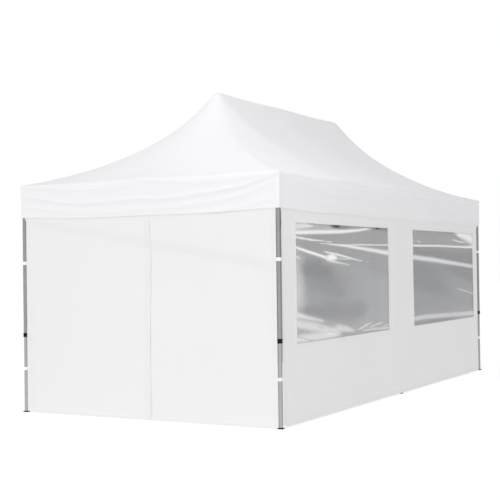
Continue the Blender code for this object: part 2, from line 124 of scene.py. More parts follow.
world = bpy.data.worlds.new("white studio")
world.use_nodes = True
world.node_tree.nodes.clear()
add = partial(add_node, world.node_tree)
lit, seen = (
    add("ShaderNodeBackground", {"Color": linear(WHITE), "Strength": strength})
    for strength in (SKY_AS_LIGHT, SKY_TO_THE_EYE)
)
to_the_eye = add("ShaderNodeLightPath").outputs["Is Camera Ray"]
add("ShaderNodeOutputWorld", {"Surface": add("ShaderNodeMixShader", {0: to_the_eye, 1: lit, 2: seen})})
bpy.context.scene.world = world

floor_mesh = bpy.data.meshes.new("studio floor")
angles = [math.tau * k / FLOOR_SIDES for k in range(FLOOR_SIDES)]
rim = [Vector((math.cos(a), math.sin(a), 0.0)) * FLOOR_RADIUS for a in angles]
floor_mesh.from_pydata(rim, [], [range(FLOOR_SIDES)])
floor_mesh.materials.append(finish("white paper", "", white_paper))
in_scene("studio_floor", floor_mesh)

key_lamp = bpy.data.lights.new("key light", "SUN")
key_lamp.energy, key_lamp.angle = KEY_STRENGTH, KEY_SPREAD
in_scene("key_light", key_lamp).matrix_world = KEY_FROM.to_track_quat("Z", "Y").to_matrix().to_4x4()
box_lamp = bpy.data.lights.new("soft box", "AREA")
box_lamp.shape, box_lamp.size, box_lamp.energy = "SQUARE", BOX_SIZE, BOX_POWER
soft_box = in_scene("soft_box", box_lamp)
facing = (BOX_PLACE - BOX_AIM).to_track_quat("Z", "Y").to_matrix().to_4x4()
soft_box.matrix_world = Matrix.Translation(BOX_PLACE) @ facing
soft_box.visible_camera = False
bpy.context.scene.view_settings.view_transform = "Standard"

# Lower legs
# Square aluminium tubes, drawn with three grooves down each face and anodised. Each one slides in an
# outer tube and stands in a moulded black foot, a flat plate with a low collar.

import bmesh

INNER_TUBE, INNER_TUBE_TOP = 0.031, 1.12
TUBE_WALL, TUBE_CORNER = 0.0015, 0.0022
GROOVE_WIDTH, GROOVE_DEPTH = 0.0024, 0.0007
FOOT_WIDTH, FOOT_THICKNESS, FOOT_CORNER, FOOT_CHAMFER = 0.056, 0.006, 0.006, 0.0008
FOOT_COLLAR, COLLAR_HEIGHT = 0.0025, 0.006
LEG_NAMES = [f"{side}_{place}" for side in ("front", "back") for place in ("left", "middle", "right")]


def grooved_line(width, corner, depth, steps=4):
    """The outline of a square tube, anticlockwise, with three grooves in each face and round corners."""
    half = width / 2
    flat = half - corner
    face = [(-flat, 0.0)]
    for middle in (-flat / 2, 0.0, flat / 2):
        for side, sunk in ((-0.5, 0.0), (-0.25, depth), (0.25, depth), (0.5, 0.0)):
            face.append((middle + side * GROOVE_WIDTH, sunk))
    points = []
    for quarter in range(4):
        turn = Matrix.Rotation(quarter * math.pi / 2, 2)
        points += [turn @ Vector((half - sunk, along)) for along, sunk in face]
        for angle in (k / steps * math.pi / 2 for k in range(steps)):
            points.append(turn @ Vector((flat + corner * math.cos(angle), flat + corner * math.sin(angle))))
    return points


def box_line(width, corner, depth=None, steps=4):
    """The outline of a box with round corners, anticlockwise. It is square where no depth is given."""
    points = []
    for quarter, (sx, sy) in enumerate(((1, 1), (-1, 1), (-1, -1), (1, -1))):
        centre = Vector((sx * (width / 2 - corner), sy * ((depth or width) / 2 - corner)))
        for k in range(steps + 1):
            angle = (quarter + k / steps) * math.pi / 2
            points.append(centre + corner * Vector((math.cos(angle), math.sin(angle))))
    return points


def plain_mesh(bm):
    mesh = bpy.data.meshes.new("shape")
    bm.to_mesh(mesh)
    bm.free()
    return mesh


def skinned(rings, hollow=False):
    """A mesh over rings of equally many points. Its ends are capped, or joined to each other if hollow."""
    bm = bmesh.new()
    rows = [[bm.verts.new(p) for p in ring] for ring in rings]
    for low, high in zip(rows, rows[1:] + rows[:1] if hollow else rows[1:]):
        for k in range(len(low)):
            n = (k + 1) % len(low)
            bm.faces.new((low[k], low[n], high[n], high[k]))
    if not hollow:
        bm.faces.new(reversed(rows[0]))
        bm.faces.new(rows[-1])
    bmesh.ops.remove_doubles(bm, verts=bm.verts, dist=1e-6)
    bmesh.ops.recalc_face_normals(bm, faces=bm.faces)
    return plain_mesh(bm)


def stacked(*levels, hollow=False):
    """A mesh over outlines, each with its height."""
    return skinned([[(*p, z) for p in line] for line, z in levels], hollow)


def joined(shapes, at=(0.0, 0.0, 0.0), turn=0.0):
    """Several shapes as one mesh, turned about Z and then moved."""
    bm = bmesh.new()
    for shape in shapes:
        bm.from_mesh(shape)
    bmesh.ops.transform(bm, verts=bm.verts, matrix=Matrix.Translation(at) @ Matrix.Rotation(turn, 4, "Z"))
    return plain_mesh(bm)


def fit_piece(name, shapes, material, *nodes, at=(0.0, 0.0, 0.0), turn=0.0, body="tent", crease=35.0):
    """A piece made of some shapes, with the nodes that it stands for and the body that it rides on."""
    mesh = joined(shapes, at, turn)
    mesh.materials.clear()
    mesh.materials.append(material)
    mesh.shade_smooth()
    mesh.set_sharp_from_angle(angle=math.radians(crease))
    made = in_scene(name, mesh)
    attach(made, body)
    if nodes:
        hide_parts(*nodes)
    return made


def anodised_aluminium(add, place, pale, deep):
    """Drawn and anodised aluminium: a satin grey with fine lines along the tube, from the die."""
    # Die lines are about 0.2 mm apart. Drawn at 2 mm across and 300 mm along, to show at all.
    stretched = add("ShaderNodeMapping", {"Vector": place, "Scale": (500.0, 500.0, 3.3)})
    lines = add("ShaderNodeTexNoise", {"Vector": stretched, "Scale": 1.0, "Detail": 3.0})
    satin = add("ShaderNodeMapRange", {"Value": lines, "To Min": 0.30, "To Max": 0.46})
    # Anodising leaves faint cloudy patches, some 60 mm across, and handling dulls them.
    clouds = add("ShaderNodeTexNoise", {"Vector": place, "Scale": 16.0, "Detail": 2.0})
    tone = add("ShaderNodeMixRGB", {"Fac": clouds, "Color1": linear(pale), "Color2": linear(deep)})
    relief = add("ShaderNodeBump", {"Height": lines, "Strength": 0.12, "Distance": 0.0004})
    return add("ShaderNodeBsdfPrincipled", {
        "Base Color": tone, "Metallic": 1.0, "Roughness": satin, "Normal": relief,
    })


def moulded_nylon(add, place):
    """Moulded black nylon: nearly black, dull, with the 0.8 mm grain of a spark-eroded mould."""
    grain = add("ShaderNodeTexNoise", {"Vector": place, "Scale": 1250.0, "Detail": 2.0})
    # Handling polishes the nylon in patches of about 30 mm.
    worn = add("ShaderNodeTexNoise", {"Vector": place, "Scale": 33.0, "Detail": 1.0})
    dull = add("ShaderNodeMapRange", {"Value": worn, "To Min": 0.45, "To Max": 0.68})
    tone = add("ShaderNodeMixRGB", {"Fac": worn, "Color1": linear("#060607"), "Color2": linear("#0D0E0F")})
    relief = add("ShaderNodeBump", {"Height": grain, "Strength": 0.25, "Distance": 0.0003})
    return add("ShaderNodeBsdfPrincipled", {
        "Base Color": tone, "Roughness": dull, "Normal": relief, "IOR": 1.53, "Specular IOR Level": 0.25,
    })


def drawn_tube(width, low, high):
    """A drawn square tube, open at both ends."""
    outside = grooved_line(width, TUBE_CORNER, GROOVE_DEPTH)
    inside = grooved_line(width - 2 * TUBE_WALL, TUBE_CORNER / 3, 0.0)
    return stacked((outside, low), (outside, high), (inside, high), (inside, low), hollow=True)


def moulded_foot():
    """The foot plate, and the collar that the tube stands in."""
    small, large = (box_line(FOOT_WIDTH - cut, FOOT_CORNER) for cut in (2 * FOOT_CHAMFER, 0.0))
    thick = FOOT_THICKNESS
    plate = stacked((small, 0.0), (large, FOOT_CHAMFER), (large, thick - FOOT_CHAMFER), (small, thick))
    outside = box_line(INNER_TUBE + 2 * FOOT_COLLAR, TUBE_CORNER + FOOT_COLLAR)
    bore = box_line(INNER_TUBE + 0.0002, TUBE_CORNER)
    top = thick + COLLAR_HEIGHT
    collar = stacked((bore, thick), (outside, thick), (outside, top - 0.001), (bore, top), hollow=True)
    return [plate, collar]


# The lower legs take a lighter copy of the same anodised finish, and the upper legs and posts a darker one:
# painted light and shade, for the valance's shade on the upper legs.
bright_tube = finish(
    "anodised aluminium tube, bright", "aluminium_tube", anodised_aluminium, "#BBBDBE", "#B0B2B3",
)
black_nylon = finish("moulded black nylon", "black_plastic", moulded_nylon)
leg_places = {}
for leg in LEG_NAMES:
    low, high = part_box(f"inner_leg_{leg}")
    at = leg_places[leg] = ((low.x + high.x) / 2, (low.y + high.y) / 2, 0.0)
    name = f"lower_leg_{leg}"
    tube = drawn_tube(INNER_TUBE, FOOT_THICKNESS, INNER_TUBE_TOP)
    fit_piece(name, [tube], bright_tube, f"inner_leg_{leg}", at=at, body=name)
    fit_piece(f"leg_foot_{leg}", moulded_foot(), black_nylon, at=at, body=name)

# Outer legs
# The same drawn tube one size up, from the latch to the eave, open at its lower end for the leg
# inside it.

OUTER_TUBE = 0.035

outer_low, outer_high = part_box("outer_leg_front_left")
# The darker copy: painted shade under the valance and the roof.
tube_metal = finish("anodised aluminium tube", "aluminium_tube", anodised_aluminium, "#A8AAAC", "#9D9FA1")
for leg, at in leg_places.items():
    tube = drawn_tube(OUTER_TUBE, outer_low.z, outer_high.z)
    fit_piece(f"upper_leg_{leg}", [tube], tube_metal, f"outer_leg_{leg}", at=at)

# Latches
# Moulded black nylon collars at the foot of the outer tubes. A sprung steel pin goes through each
# into a hole of the lower leg, and is pulled back by a ribbed knob.

LATCH_WIDTH, SLEEVE_CORNER = 0.043, 0.005
KNOB_RADIUS, KNOB_LENGTH, KNOB_RIBS = 0.008, 0.012, 12
# The knob's outline: how far along it, how wide and how deep its ribs are, as shares.
KNOB_PROFILE = (
    (-1 / 6, 0.70, 0.0), (0.12, 0.70, 0.0), (0.16, 0.96, 0.08), (0.30, 1.0, 0.10), (0.78, 1.0, 0.10),
    (0.92, 0.90, 0.05), (1.0, 0.62, 0.0),
)
# A sleeve's outline: how far in from its widest part, and how far up it, as a share.
SLEEVE_PROFILE = (
    (0.0015, 0.0), (0.0, 0.04), (0.0, 0.20), (0.0012, 0.24), (0.0012, 0.76), (0.0, 0.80), (0.0, 0.96),
    (0.0015, 1.0),
)


def ribbed_knob():
    """A ribbed knob along +X, with its root at X = 0."""
    rings = []
    for share, size, depth in KNOB_PROFILE:
        ring = []
        for k in range(4 * KNOB_RIBS):
            angle = math.tau * k / (4 * KNOB_RIBS)
            reach = KNOB_RADIUS * size * (1.0 - depth * (k % 4 in (2, 3)))
            ring.append((share * KNOB_LENGTH, reach * math.cos(angle), reach * math.sin(angle)))
        rings.append(ring)
    return skinned(rings)


def moulded_sleeve(width, bore, bottom, top):
    """A moulded sleeve round a square tube, with a chamfer at each end and two raised bands."""
    hole = box_line(bore, TUBE_CORNER)
    outside = [
        (box_line(width - 2 * inset, SLEEVE_CORNER), bottom + share * (top - bottom))
        for inset, share in SLEEVE_PROFILE
    ]
    return stacked((hole, bottom), *outside, (hole, top), hollow=True)


for leg, at in leg_places.items():
    low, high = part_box(f"latch_{leg}")
    x, y, _ = at
    reaches = {0.0: high.x - x, math.pi: x - low.x, math.pi / 2: high.y - y, -math.pi / 2: y - low.y}
    knob = ribbed_knob()
    knob.transform(Matrix.Translation((LATCH_WIDTH / 2, 0.0, (low.z + high.z) / 2)))
    collar = moulded_sleeve(LATCH_WIDTH, OUTER_TUBE + 0.0006, low.z, high.z)
    knob_side = max(reaches, key=reaches.get)
    fit_piece(f"leg_latch_{leg}", [collar, knob], black_nylon, f"latch_{leg}", at=at, turn=knob_side)

# Ridge poles
# Three short posts of square tube on the lattice. Each has a black cap under the cloth, and a black
# foot where it comes out below its hub.

POLE_NAMES = ("left", "middle", "right")
POLE_WIDTH, POLE_CORNER = 0.025, 0.002
CAP_SKIRT, CAP_SIDES = 0.020, 32
POLE_FOOT_WIDTH, POLE_FOOT_CORNER = 0.100, 0.005
# The cap's radius at each distance below the pole's top.
CAP_PROFILE = (
    (0.0208, 0.036), (0.026, 0.034), (0.026, CAP_SKIRT), (0.02236, 0.014), (0.0156, 0.0075), (0.0078, 0.003),
    (0.001, 0.0005),
)
# The foot's width, as a share, at each distance below the pole's end.
POLE_FOOT_PROFILE = ((0.50, 0.044), (0.62, 0.041), (0.90, 0.030), (1.0, 0.022), (1.0, 0.003), (0.97, 0.0))

for where in POLE_NAMES:
    low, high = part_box(f"ridge_pole_{where}")
    at = ((low.x + high.x) / 2, (low.y + high.y) / 2, 0.0)
    section = box_line(POLE_WIDTH, POLE_CORNER)
    post = stacked((section, low.z), (section, high.z - CAP_SKIRT))
    fit_piece(f"ridge_post_{where}", [post], tube_metal, f"ridge_pole_{where}", at=at)
    dome, shoe = [], []
    for radius, drop in CAP_PROFILE:
        turns = [Matrix.Rotation(math.tau * k / CAP_SIDES, 2) for k in range(CAP_SIDES)]
        dome.append(([turn @ Vector((radius, 0.0)) for turn in turns], high.z - drop))
    for share, drop in POLE_FOOT_PROFILE:
        shoe.append((box_line(share * POLE_FOOT_WIDTH, share * POLE_FOOT_CORNER), low.z - drop))
    fit_piece(f"ridge_post_cap_{where}", [stacked(*dome)], black_nylon, at=at)
    fit_piece(f"ridge_post_foot_{where}", [stacked(*shoe)], black_nylon, at=at)

# Roof cover
# One sewn cover of coated polyester: four panels that meet at the hips, and a deep valance all
# round. The ridge posts and the leg brackets stretch it, and the valance hangs in slack swags.

import numpy as np

HALF_LENGTH, HALF_WIDTH, RIDGE_HALF = 3.0, 1.5, 1.5
CLOTH, VALANCE_DEPTH = 0.0014, 0.335
FALL_TERMS = ((0.33, 1), (0.43, 2), (0.24, 6))
HIP_TURN, HIP_SOFTNESS, HIP_SHARPENING, END_TURN = 0.28, (1.5, 1.2), 2.4, 0.70
CREST, CREST_WIDTH = 0.007, 0.17
FACE_SAG, RIDGE_SAG, EAVE_SAG = 0.010, 0.008, 0.008
RIDGE_ROUNDING, EAVE_ROLL, CORNER_ROLL = 0.020, 0.007, 0.0025
CONNECTOR_BUMP, LEG_BUMP, BUMP_REACH = 0.017, 0.006, 0.075
HEM_DEPTH, HEM_RISE = 0.030, 0.0008
BINDING_WIDTH, BINDING_STEP = 0.042, 0.002
LONG_STEPS, SHORT_STEPS, CORNER_STEPS = 168, 84, 5
# Folds of the valance. Each is how far it stands out in mm, its width in thousandths of the depth, and
# its course in thousandths: how far along the side, seen from outside, and how far down, in turn.
END_FOLDS = (
    (12, 60, 0, 30, 115, 330, 280, 460, 430, 570, 530, 530, 660, 580, 800, 560, 1000, 320),
    (3.5, 40, 540, 530, 660, 580, 800, 560, 900, 460, 1000, 320),
    (6, 42, 0, 20, 120, 110, 300, 150, 480, 50),
    (9, 48, 500, 80, 600, 190, 820, 160, 1000, 60),
    (9, 80, 0, 220, 120, 580, 300, 750, 460, 840, 700, 860, 1000, 660),
    (6, 60, 0, 700, 120, 890, 260, 990),
)
SIDE_FOLDS = (
    (8, 55, 0, 20, 20, 100, 154, 390, 245, 480, 366, 410, 490, 100),
    (6, 60, 0, 220, 15, 400, 125, 660, 245, 800, 400, 740, 500, 450),
    (5, 45, 160, 220, 250, 300, 360, 300, 490, 40),
    (7, 60, 510, 60, 620, 300, 750, 380, 880, 300, 1000, 60),
    (7, 80, 520, 500, 650, 720, 800, 780, 900, 660, 1000, 450),
)

roof_low, roof_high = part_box("roof_front")
eave_height, ridge_height = roof_low.z + VALANCE_DEPTH, roof_high.z


def roof_height(x, y):
    """Height of the cloth, seen from above. It drops steeply at first and flattens to the eave."""
    along = np.maximum(0.0, np.abs(x) - RIDGE_HALF) / (HALF_LENGTH - RIDGE_HALF)
    across = np.abs(y) / HALF_WIDTH
    square = np.clip(np.maximum(along, across), 1e-9, 1.0)
    ratio = np.minimum(along, across) / square
    softness = HIP_SOFTNESS[0] + (HIP_SOFTNESS[1] - HIP_SOFTNESS[0]) * square
    on_side = square * (1.0 + HIP_TURN * ratio**softness) / (1.0 + HIP_TURN)
    on_end = square * (1.0 - END_TURN * (1.0 - ratio**2) / 2)
    conical = np.where(across >= along, on_side, on_end)
    out = conical + (square - conical) * square**HIP_SHARPENING
    full = math.hypot(1.0, RIDGE_ROUNDING) - RIDGE_ROUNDING
    up = 1.0 - (np.hypot(out, RIDGE_ROUNDING) - RIDGE_ROUNDING) / full
    fall = sum(share * up**power for share, power in FALL_TERMS)
    height = eave_height + (ridge_height - eave_height) * fall
    between_poles = np.sin(np.pi * np.minimum(np.abs(x), RIDGE_HALF) / RIDGE_HALF) ** 2
    height -= between_poles * (RIDGE_SAG * up**2 + FACE_SAG * 4 * out * up)
    # The cloth is taut from the outer poles down to the connectors, which shows as a low crest.
    off_line = np.hypot(np.abs(x) - RIDGE_HALF, 0.02) - 0.02
    height += CREST * 4 * square**2 * (1 - square) * (across >= along) * np.exp(-off_line / CREST_WIDTH)
    # The eave is slack midway between its supports, which stand 1.5 m apart on every side.
    along_side = np.where(np.abs(x) - RIDGE_HALF > np.abs(y), y, x)
    free = np.sin(np.pi * along_side / RIDGE_HALF) ** 2
    return height + lift_of_supports(x, y) - EAVE_SAG * free * square**4


def lift_of_supports(x, y):
    """How far the brackets and connectors lift the cloth at the eave."""
    lift = 0.0
    for side in (-1, 1):
        supports = [(side * HALF_LENGTH, 0.0, CONNECTOR_BUMP), (0.0, side * HALF_WIDTH, LEG_BUMP)]
        supports += [(end * RIDGE_HALF, side * HALF_WIDTH, CONNECTOR_BUMP) for end in (-1, 1)]
        for px, py, bump in supports:
            lift = lift + bump * np.exp(-((x - px) ** 2 + (y - py) ** 2) / BUMP_REACH**2)
    return lift


def eave_ring():
    """The eave seen from above, anticlockwise from the front left corner: places and outward directions."""
    places, outward = [], []
    flat_x, flat_y = HALF_LENGTH - CORNER_ROLL, HALF_WIDTH - CORNER_ROLL
    for number, (start, end, steps) in enumerate((
        ((-flat_x, -HALF_WIDTH), (flat_x, -HALF_WIDTH), LONG_STEPS),
        ((HALF_LENGTH, -flat_y), (HALF_LENGTH, flat_y), SHORT_STEPS),
        ((flat_x, HALF_WIDTH), (-flat_x, HALF_WIDTH), LONG_STEPS),
        ((-HALF_LENGTH, flat_y), (-HALF_LENGTH, -flat_y), SHORT_STEPS),
    )):
        facing = math.radians(-90 + 90 * number)
        length = math.dist(start, end)
        inner = np.linspace(BINDING_WIDTH + BINDING_STEP, length - BINDING_WIDTH - BINDING_STEP, steps - 5)
        edges = (0.0, BINDING_WIDTH / 2, BINDING_WIDTH)
        for stop in (*edges, *inner, *(length - edge for edge in edges[:0:-1])):
            places.append([a + (b - a) * stop / length for a, b in zip(start, end)])
            outward.append((math.cos(facing), math.sin(facing)))
        centre = [a - CORNER_ROLL * b for a, b in zip(end, outward[-1])]
        for k in range(CORNER_STEPS):
            angle = facing + math.radians(90) * k / CORNER_STEPS
            outward.append((math.cos(angle), math.sin(angle)))
            places.append([a + CORNER_ROLL * b for a, b in zip(centre, outward[-1])])
    return np.array(places), np.array(outward)


def fold_height(folds, along, down):
    """How far the folds push the valance out."""
    grid = np.linspace(0.0, 1.0, 401)
    kernel = np.exp(-(np.linspace(-2, 2, 41) ** 2))
    out = np.zeros_like(along)
    for height, width, *course in folds:
        stations, depths = np.reshape(course, (-1, 2)).T / 1000
        padded = np.pad(np.interp(grid, stations, depths), 20, mode="reflect", reflect_type="odd")
        centre = np.interp(along, grid, np.convolve(padded, kernel / kernel.sum(), mode="valid"))
        starts, ends = along - stations[0] + 0.015, stations[-1] + 0.015 - along
        fade = np.clip(starts / 0.07, 0, 1) * np.clip(ends / 0.07, 0, 1)
        fade = fade * fade * (3 - 2 * fade)
        spread = width / 1000 * (0.45 + 0.55 * np.clip(4 * np.minimum(along, 1 - along), 0, 1))
        offset = (down - centre) / spread
        profile = np.where(offset < 0, np.exp(-(offset**2)), 1.0 / (1.0 + offset**2) ** 1.5)
        out += height / 1000 * fade * profile
    return out


def along_eave(places):
    """Of each place on the eave: is it on an end, how far along its side, and how far from a corner."""
    x, y = places.T
    on_end = np.abs(x) > HALF_LENGTH - CORNER_ROLL * 0.7
    share = np.clip(0.5 + np.where(on_end, y / HALF_WIDTH, x / HALF_LENGTH) / 2, 0, 1)
    return on_end, share, np.where(on_end, HALF_WIDTH - np.abs(y), HALF_LENGTH - np.abs(x))


def valance_out(places, down):
    """How far the valance stands off its plane, for rows of depth and columns of places."""
    on_end, share, to_corner = along_eave(places)
    share, rows = np.meshgrid(share, down)
    out = np.where(on_end, fold_height(END_FOLDS, share, rows), fold_height(SIDE_FOLDS, share, rows))
    binding = to_corner < CORNER_ROLL + BINDING_WIDTH + BINDING_STEP / 2
    hem = rows > 1.0 - HEM_DEPTH / VALANCE_DEPTH
    over_tube = 0.0050 * np.exp(-(((rows - 0.055) / 0.045) ** 2))
    loose = 0.001 * np.clip(rows * 12, 0, 1) + out * np.clip(rows * 7, 0, 1)
    return over_tube + loose + HEM_RISE * (hem | binding)


def valance_hem_drop(places):
    """The hem hangs lower midway between the corners, and a little lower again between the supports."""
    on_end, share, _ = along_eave(places)
    swag = np.where(on_end, 0.022, 0.012) * np.sin(np.pi * share) ** 1.2
    return swag + np.where(on_end, 0.0, 0.004) * np.sin(4 * np.pi * share) ** 2


def roof_cover_points():
    """Rows from the ridge over the eave to the hem, and columns round the tent, with threads in metres."""
    places, outward = eave_ring()
    x, y = places.T
    on_end = np.abs(x) > HALF_LENGTH - CORNER_ROLL
    ridge_x = np.where(on_end, np.sign(x) * RIDGE_HALF, np.clip(x / 2, -RIDGE_HALF, RIDGE_HALF))
    ridge = np.column_stack((ridge_x, np.zeros(len(x))))
    reach = 1.0 - EAVE_ROLL / HALF_WIDTH
    crown = (0.0, 0.004, 0.010, 0.018, 0.030, 0.045, 0.065)
    rows = []
    for share in (*crown, *np.linspace(0.09, reach - 0.012, 40), reach - 0.004):
        plan = ridge + (places - ridge) * share
        rows.append(np.column_stack((plan, roof_height(*plan.T))))
    eave = roof_height(x, y)
    for angle in np.radians((78, 60, 40, 20)):
        plan = places - outward * EAVE_ROLL * (1 - math.cos(angle))
        rows.append(np.column_stack((plan, eave - EAVE_ROLL * (1 - math.sin(angle)))))
    down = (*np.linspace(0.0, 1 - HEM_DEPTH / VALANCE_DEPTH, 27), *np.linspace(0.915, 1.0, 4))
    # The lifts fade out on the way down, so that the hem hangs in plain curves.
    length = VALANCE_DEPTH - EAVE_ROLL + valance_hem_drop(places) + lift_of_supports(x, y)
    for share, stand in zip(down, valance_out(places, down)):
        rows.append(np.column_stack((places + outward * stand[:, None], eave - EAVE_ROLL - share * length)))
    points = np.array(rows)
    around = np.linalg.norm(np.diff(places, axis=0, append=places[:1]), axis=1)
    steps = np.linalg.norm(np.diff(points, axis=0), axis=2).mean(axis=1)
    return points, np.stack(np.meshgrid(*(np.cumsum((0.0, *s)) for s in (around, steps))), axis=2)


def cloth_grid(points, threads, ring=False, keeps=None):
    """Cloth as a grid of quads over rows of points. threads is the same grid on the flat cloth, in m."""
    rows, columns = points.shape[:2]
    faces, corners = [], []
    for r in range(rows - 1):
        for c in range(columns if ring else columns - 1):
            if keeps is None or keeps[r, c]:
                upper, lower, n = r * columns, (r + 1) * columns, (c + 1) % columns
                faces.append((upper + c, lower + c, lower + n, upper + n))
                corners += [threads[r, c], threads[r + 1, c], threads[r + 1, c + 1], threads[r, c + 1]]
    mesh = bpy.data.meshes.new("cloth")
    mesh.from_pydata(points.reshape(-1, 3).tolist(), [], faces)
    mesh.uv_layers.new(name="Threads").data.foreach_set("uv", np.array(corners, np.float32).ravel())
    bm = bmesh.new()
    bm.from_mesh(mesh)
    bmesh.ops.remove_doubles(bm, verts=bm.verts, dist=1e-5)
    bmesh.ops.delete(bm, geom=[v for v in bm.verts if not v.link_faces], context="VERTS")
    return plain_mesh(bm)


def modified(mesh, kind, setting):
    """The plain mesh that a modifier makes from a mesh. setting sets the modifier up."""
    holder = in_scene("holder", mesh)
    setting(holder.modifiers.new("change", kind))
    result = bpy.data.meshes.new_from_object(holder.evaluated_get(bpy.context.evaluated_depsgraph_get()))
    bpy.data.objects.remove(holder, do_unlink=True)
    return result


def thickened(mesh, thickness=CLOTH):
    """A sheet given its thickness, inwards from its outer face."""
    def setting(modifier):
        modifier.thickness, modifier.offset = thickness, -1.0

    return modified(mesh, "SOLIDIFY", setting)


def coated_polyester(add, place, pale, deep, lets_through):
    """Polyester with a coated back: white, matt, plain-woven, and it lets some daylight through."""
    threads = add("ShaderNodeUVMap", uv_map="Threads")
    # The real yarns are 0.5 mm apart. They are drawn 2 mm apart, so that the weave shows close up.
    # A wave texture of scale 1 repeats every 0.314 m.
    weave = {"Vector": threads, "Scale": 0.314 / 0.002, "Distortion": 0.0}
    warp, weft = (add("ShaderNodeTexWave", weave, bands_direction=way).outputs["Fac"] for way in "XY")
    cell = add("ShaderNodeMath", {0: warp, 1: weft}, operation="MULTIPLY")
    # Thick and thin places in the yarn, some 40 mm long.
    slubs = add("ShaderNodeTexNoise", {"Vector": threads, "Scale": 25.0, "Detail": 4.0})
    rough = add("ShaderNodeMapRange", {"Value": slubs, "To Min": 0.52, "To Max": 0.68})
    # Very faint patches, a metre across, where the coating took differently.
    patches = add("ShaderNodeTexNoise", {"Vector": place, "Scale": 1.1, "Detail": 2.0})
    tone = add("ShaderNodeMixRGB", {"Fac": patches, "Color1": linear(pale), "Color2": linear(deep)})
    relief = add("ShaderNodeBump", {"Height": cell, "Strength": 0.10, "Distance": 0.0003})
    face = add("ShaderNodeBsdfPrincipled", {
        "Base Color": tone, "Roughness": rough, "Normal": relief, "IOR": 1.45,
    })
    glow = add("ShaderNodeBsdfTranslucent", {"Color": tone, "Normal": relief})
    return add("ShaderNodeMixShader", {0: lets_through, 1: face, 2: glow})


roof_cloth = finish(
    "coated polyester, roof", "polyester_cloth", coated_polyester, "#F8F8FA", "#F4F4F6", 0.15,
)
points, threads = roof_cover_points()
roof_cover = fit_piece(
    "roof_cover", [thickened(cloth_grid(points, threads, ring=True))], roof_cloth,
    "roof_front", "roof_back", "roof_left", "roof_right", crease=50.0,
)

# Sewing of the roof cover
# White thread of spun polyester, in stitches of 5 mm. Each seam of the cover is sewn twice, and so is
# the binding at each corner. One row runs round the eave and one round the hem.

SEAM_HALF, ABOVE_CLOTH = 0.006, 0.0003


def grower(name, fed, sizes, build, *shape):
    """A node tree that sets a shape many times along or at what it is fed. build returns the instances."""
    tree = bpy.data.node_groups.new(name, "GeometryNodeTree")
    tree.is_modifier = True

    def socket(title, kind, way="INPUT"):
        return tree.interface.new_socket(title, in_out=way, socket_type="NodeSocket" + kind)

    socket(fed, "Geometry")
    for title, size in sizes.items():
        socket(title, "Float").default_value = size
    socket("Material", "Material")
    socket("Made", "Geometry", "OUTPUT")
    add = partial(add_node, tree)
    given = add("NodeGroupInput").outputs
    real = add("GeometryNodeRealizeInstances", {"Geometry": build(add, given, *shape)})
    coloured = add("GeometryNodeSetMaterial", {"Geometry": real, "Material": given["Material"]})
    add("NodeGroupOutput", {"Made": coloured})
    return tree


def beads(add, given, segments, rings, turn, *sizes):
    """A small round shape at every step along a mesh of edges. sizes name its inputs along X, Y and Z."""
    curves = add("GeometryNodeMeshToCurve", {"Mesh": given["Lines"]})
    spaced = add("GeometryNodeResampleCurve", {"Curve": curves, "Length": given["Pitch"]}, mode="LENGTH")
    ball = add("GeometryNodeMeshUVSphere", {"Segments": segments, "Rings": rings, "Radius": 0.5})
    size = add("ShaderNodeCombineXYZ", {axis: given[name] for axis, name in zip("XYZ", sizes)})
    bead = add("GeometryNodeTransform", {"Geometry": ball, "Scale": size})
    placing = {"Points": spaced, "Instance": bead}
    if turn:
        tangent = add("GeometryNodeInputTangent")
        placing["Rotation"] = add("FunctionNodeAlignRotationToVector", {"Vector": tangent}, axis="X")
    return add("GeometryNodeInstanceOnPoints", placing)


def grown(tree, mesh, material):
    """The plain mesh that a node tree makes from a mesh."""
    def setting(modifier):
        modifier.node_group = tree
        modifier[tree.interface.items_tree["Material"].identifier] = material

    return modified(mesh, "NODES", setting)


def line_mesh(lines):
    """A mesh of edges only, one run for each line of points."""
    places, edges = [], []
    for line in lines:
        start = len(places)
        places += [tuple(p) for p in line]
        edges += [(k, k + 1) for k in range(start, len(places) - 1)]
    mesh = bpy.data.meshes.new("lines")
    mesh.from_pydata(places, edges, [])
    return mesh


def polyester_thread(add, place):
    """Spun polyester thread: bright white and softly shiny, with its twist as fine slanting lines."""
    wave = {"Vector": place, "Scale": 260.0, "Distortion": 1.0}
    twist = add("ShaderNodeTexWave", wave, bands_direction="DIAGONAL").outputs["Fac"]
    tone = add("ShaderNodeMixRGB", {"Fac": twist, "Color1": linear("#E9E9EA"), "Color2": linear("#F7F7F7")})
    return add("ShaderNodeBsdfPrincipled", {"Base Color": tone, "Roughness": 0.5})


def roof_seam_lines():
    """Two rows of stitches on each hip, on the ridge and at each corner, and one at eave and hem."""
    lines = []

    def on_roof(x, y):
        lines.append(np.column_stack((x, y, roof_height(x, y) + ABOVE_CLOTH)))

    course = np.linspace(0.03, 0.992, 90)
    for end, side, offset in ((e, s, o) for e in (-1, 1) for s in (-1, 1) for o in (-SEAM_HALF, SEAM_HALF)):
        on_roof(
            end * (RIDGE_HALF + course * (HALF_LENGTH - RIDGE_HALF) + offset / math.sqrt(2)),
            side * (course * HALF_WIDTH - offset / math.sqrt(2)),
        )
    x = np.linspace(-RIDGE_HALF, RIDGE_HALF, 90)
    for offset in (-SEAM_HALF, SEAM_HALF):
        on_roof(x, np.full_like(x, offset))
    places, outward = eave_ring()
    lift = np.column_stack((outward, np.zeros(len(outward)))) * ABOVE_CLOTH
    valance_rows = points[-31:]
    for row in (1, 27):
        ring = valance_rows[row] + lift
        lines.append(np.concatenate((ring, ring[:1])))
    to_corner = along_eave(places)[2]
    for column in np.flatnonzero(np.abs(to_corner - CORNER_ROLL - BINDING_WIDTH / 2) < 1e-4):
        lines.append(valance_rows[:, column] + lift[column])
    return lines


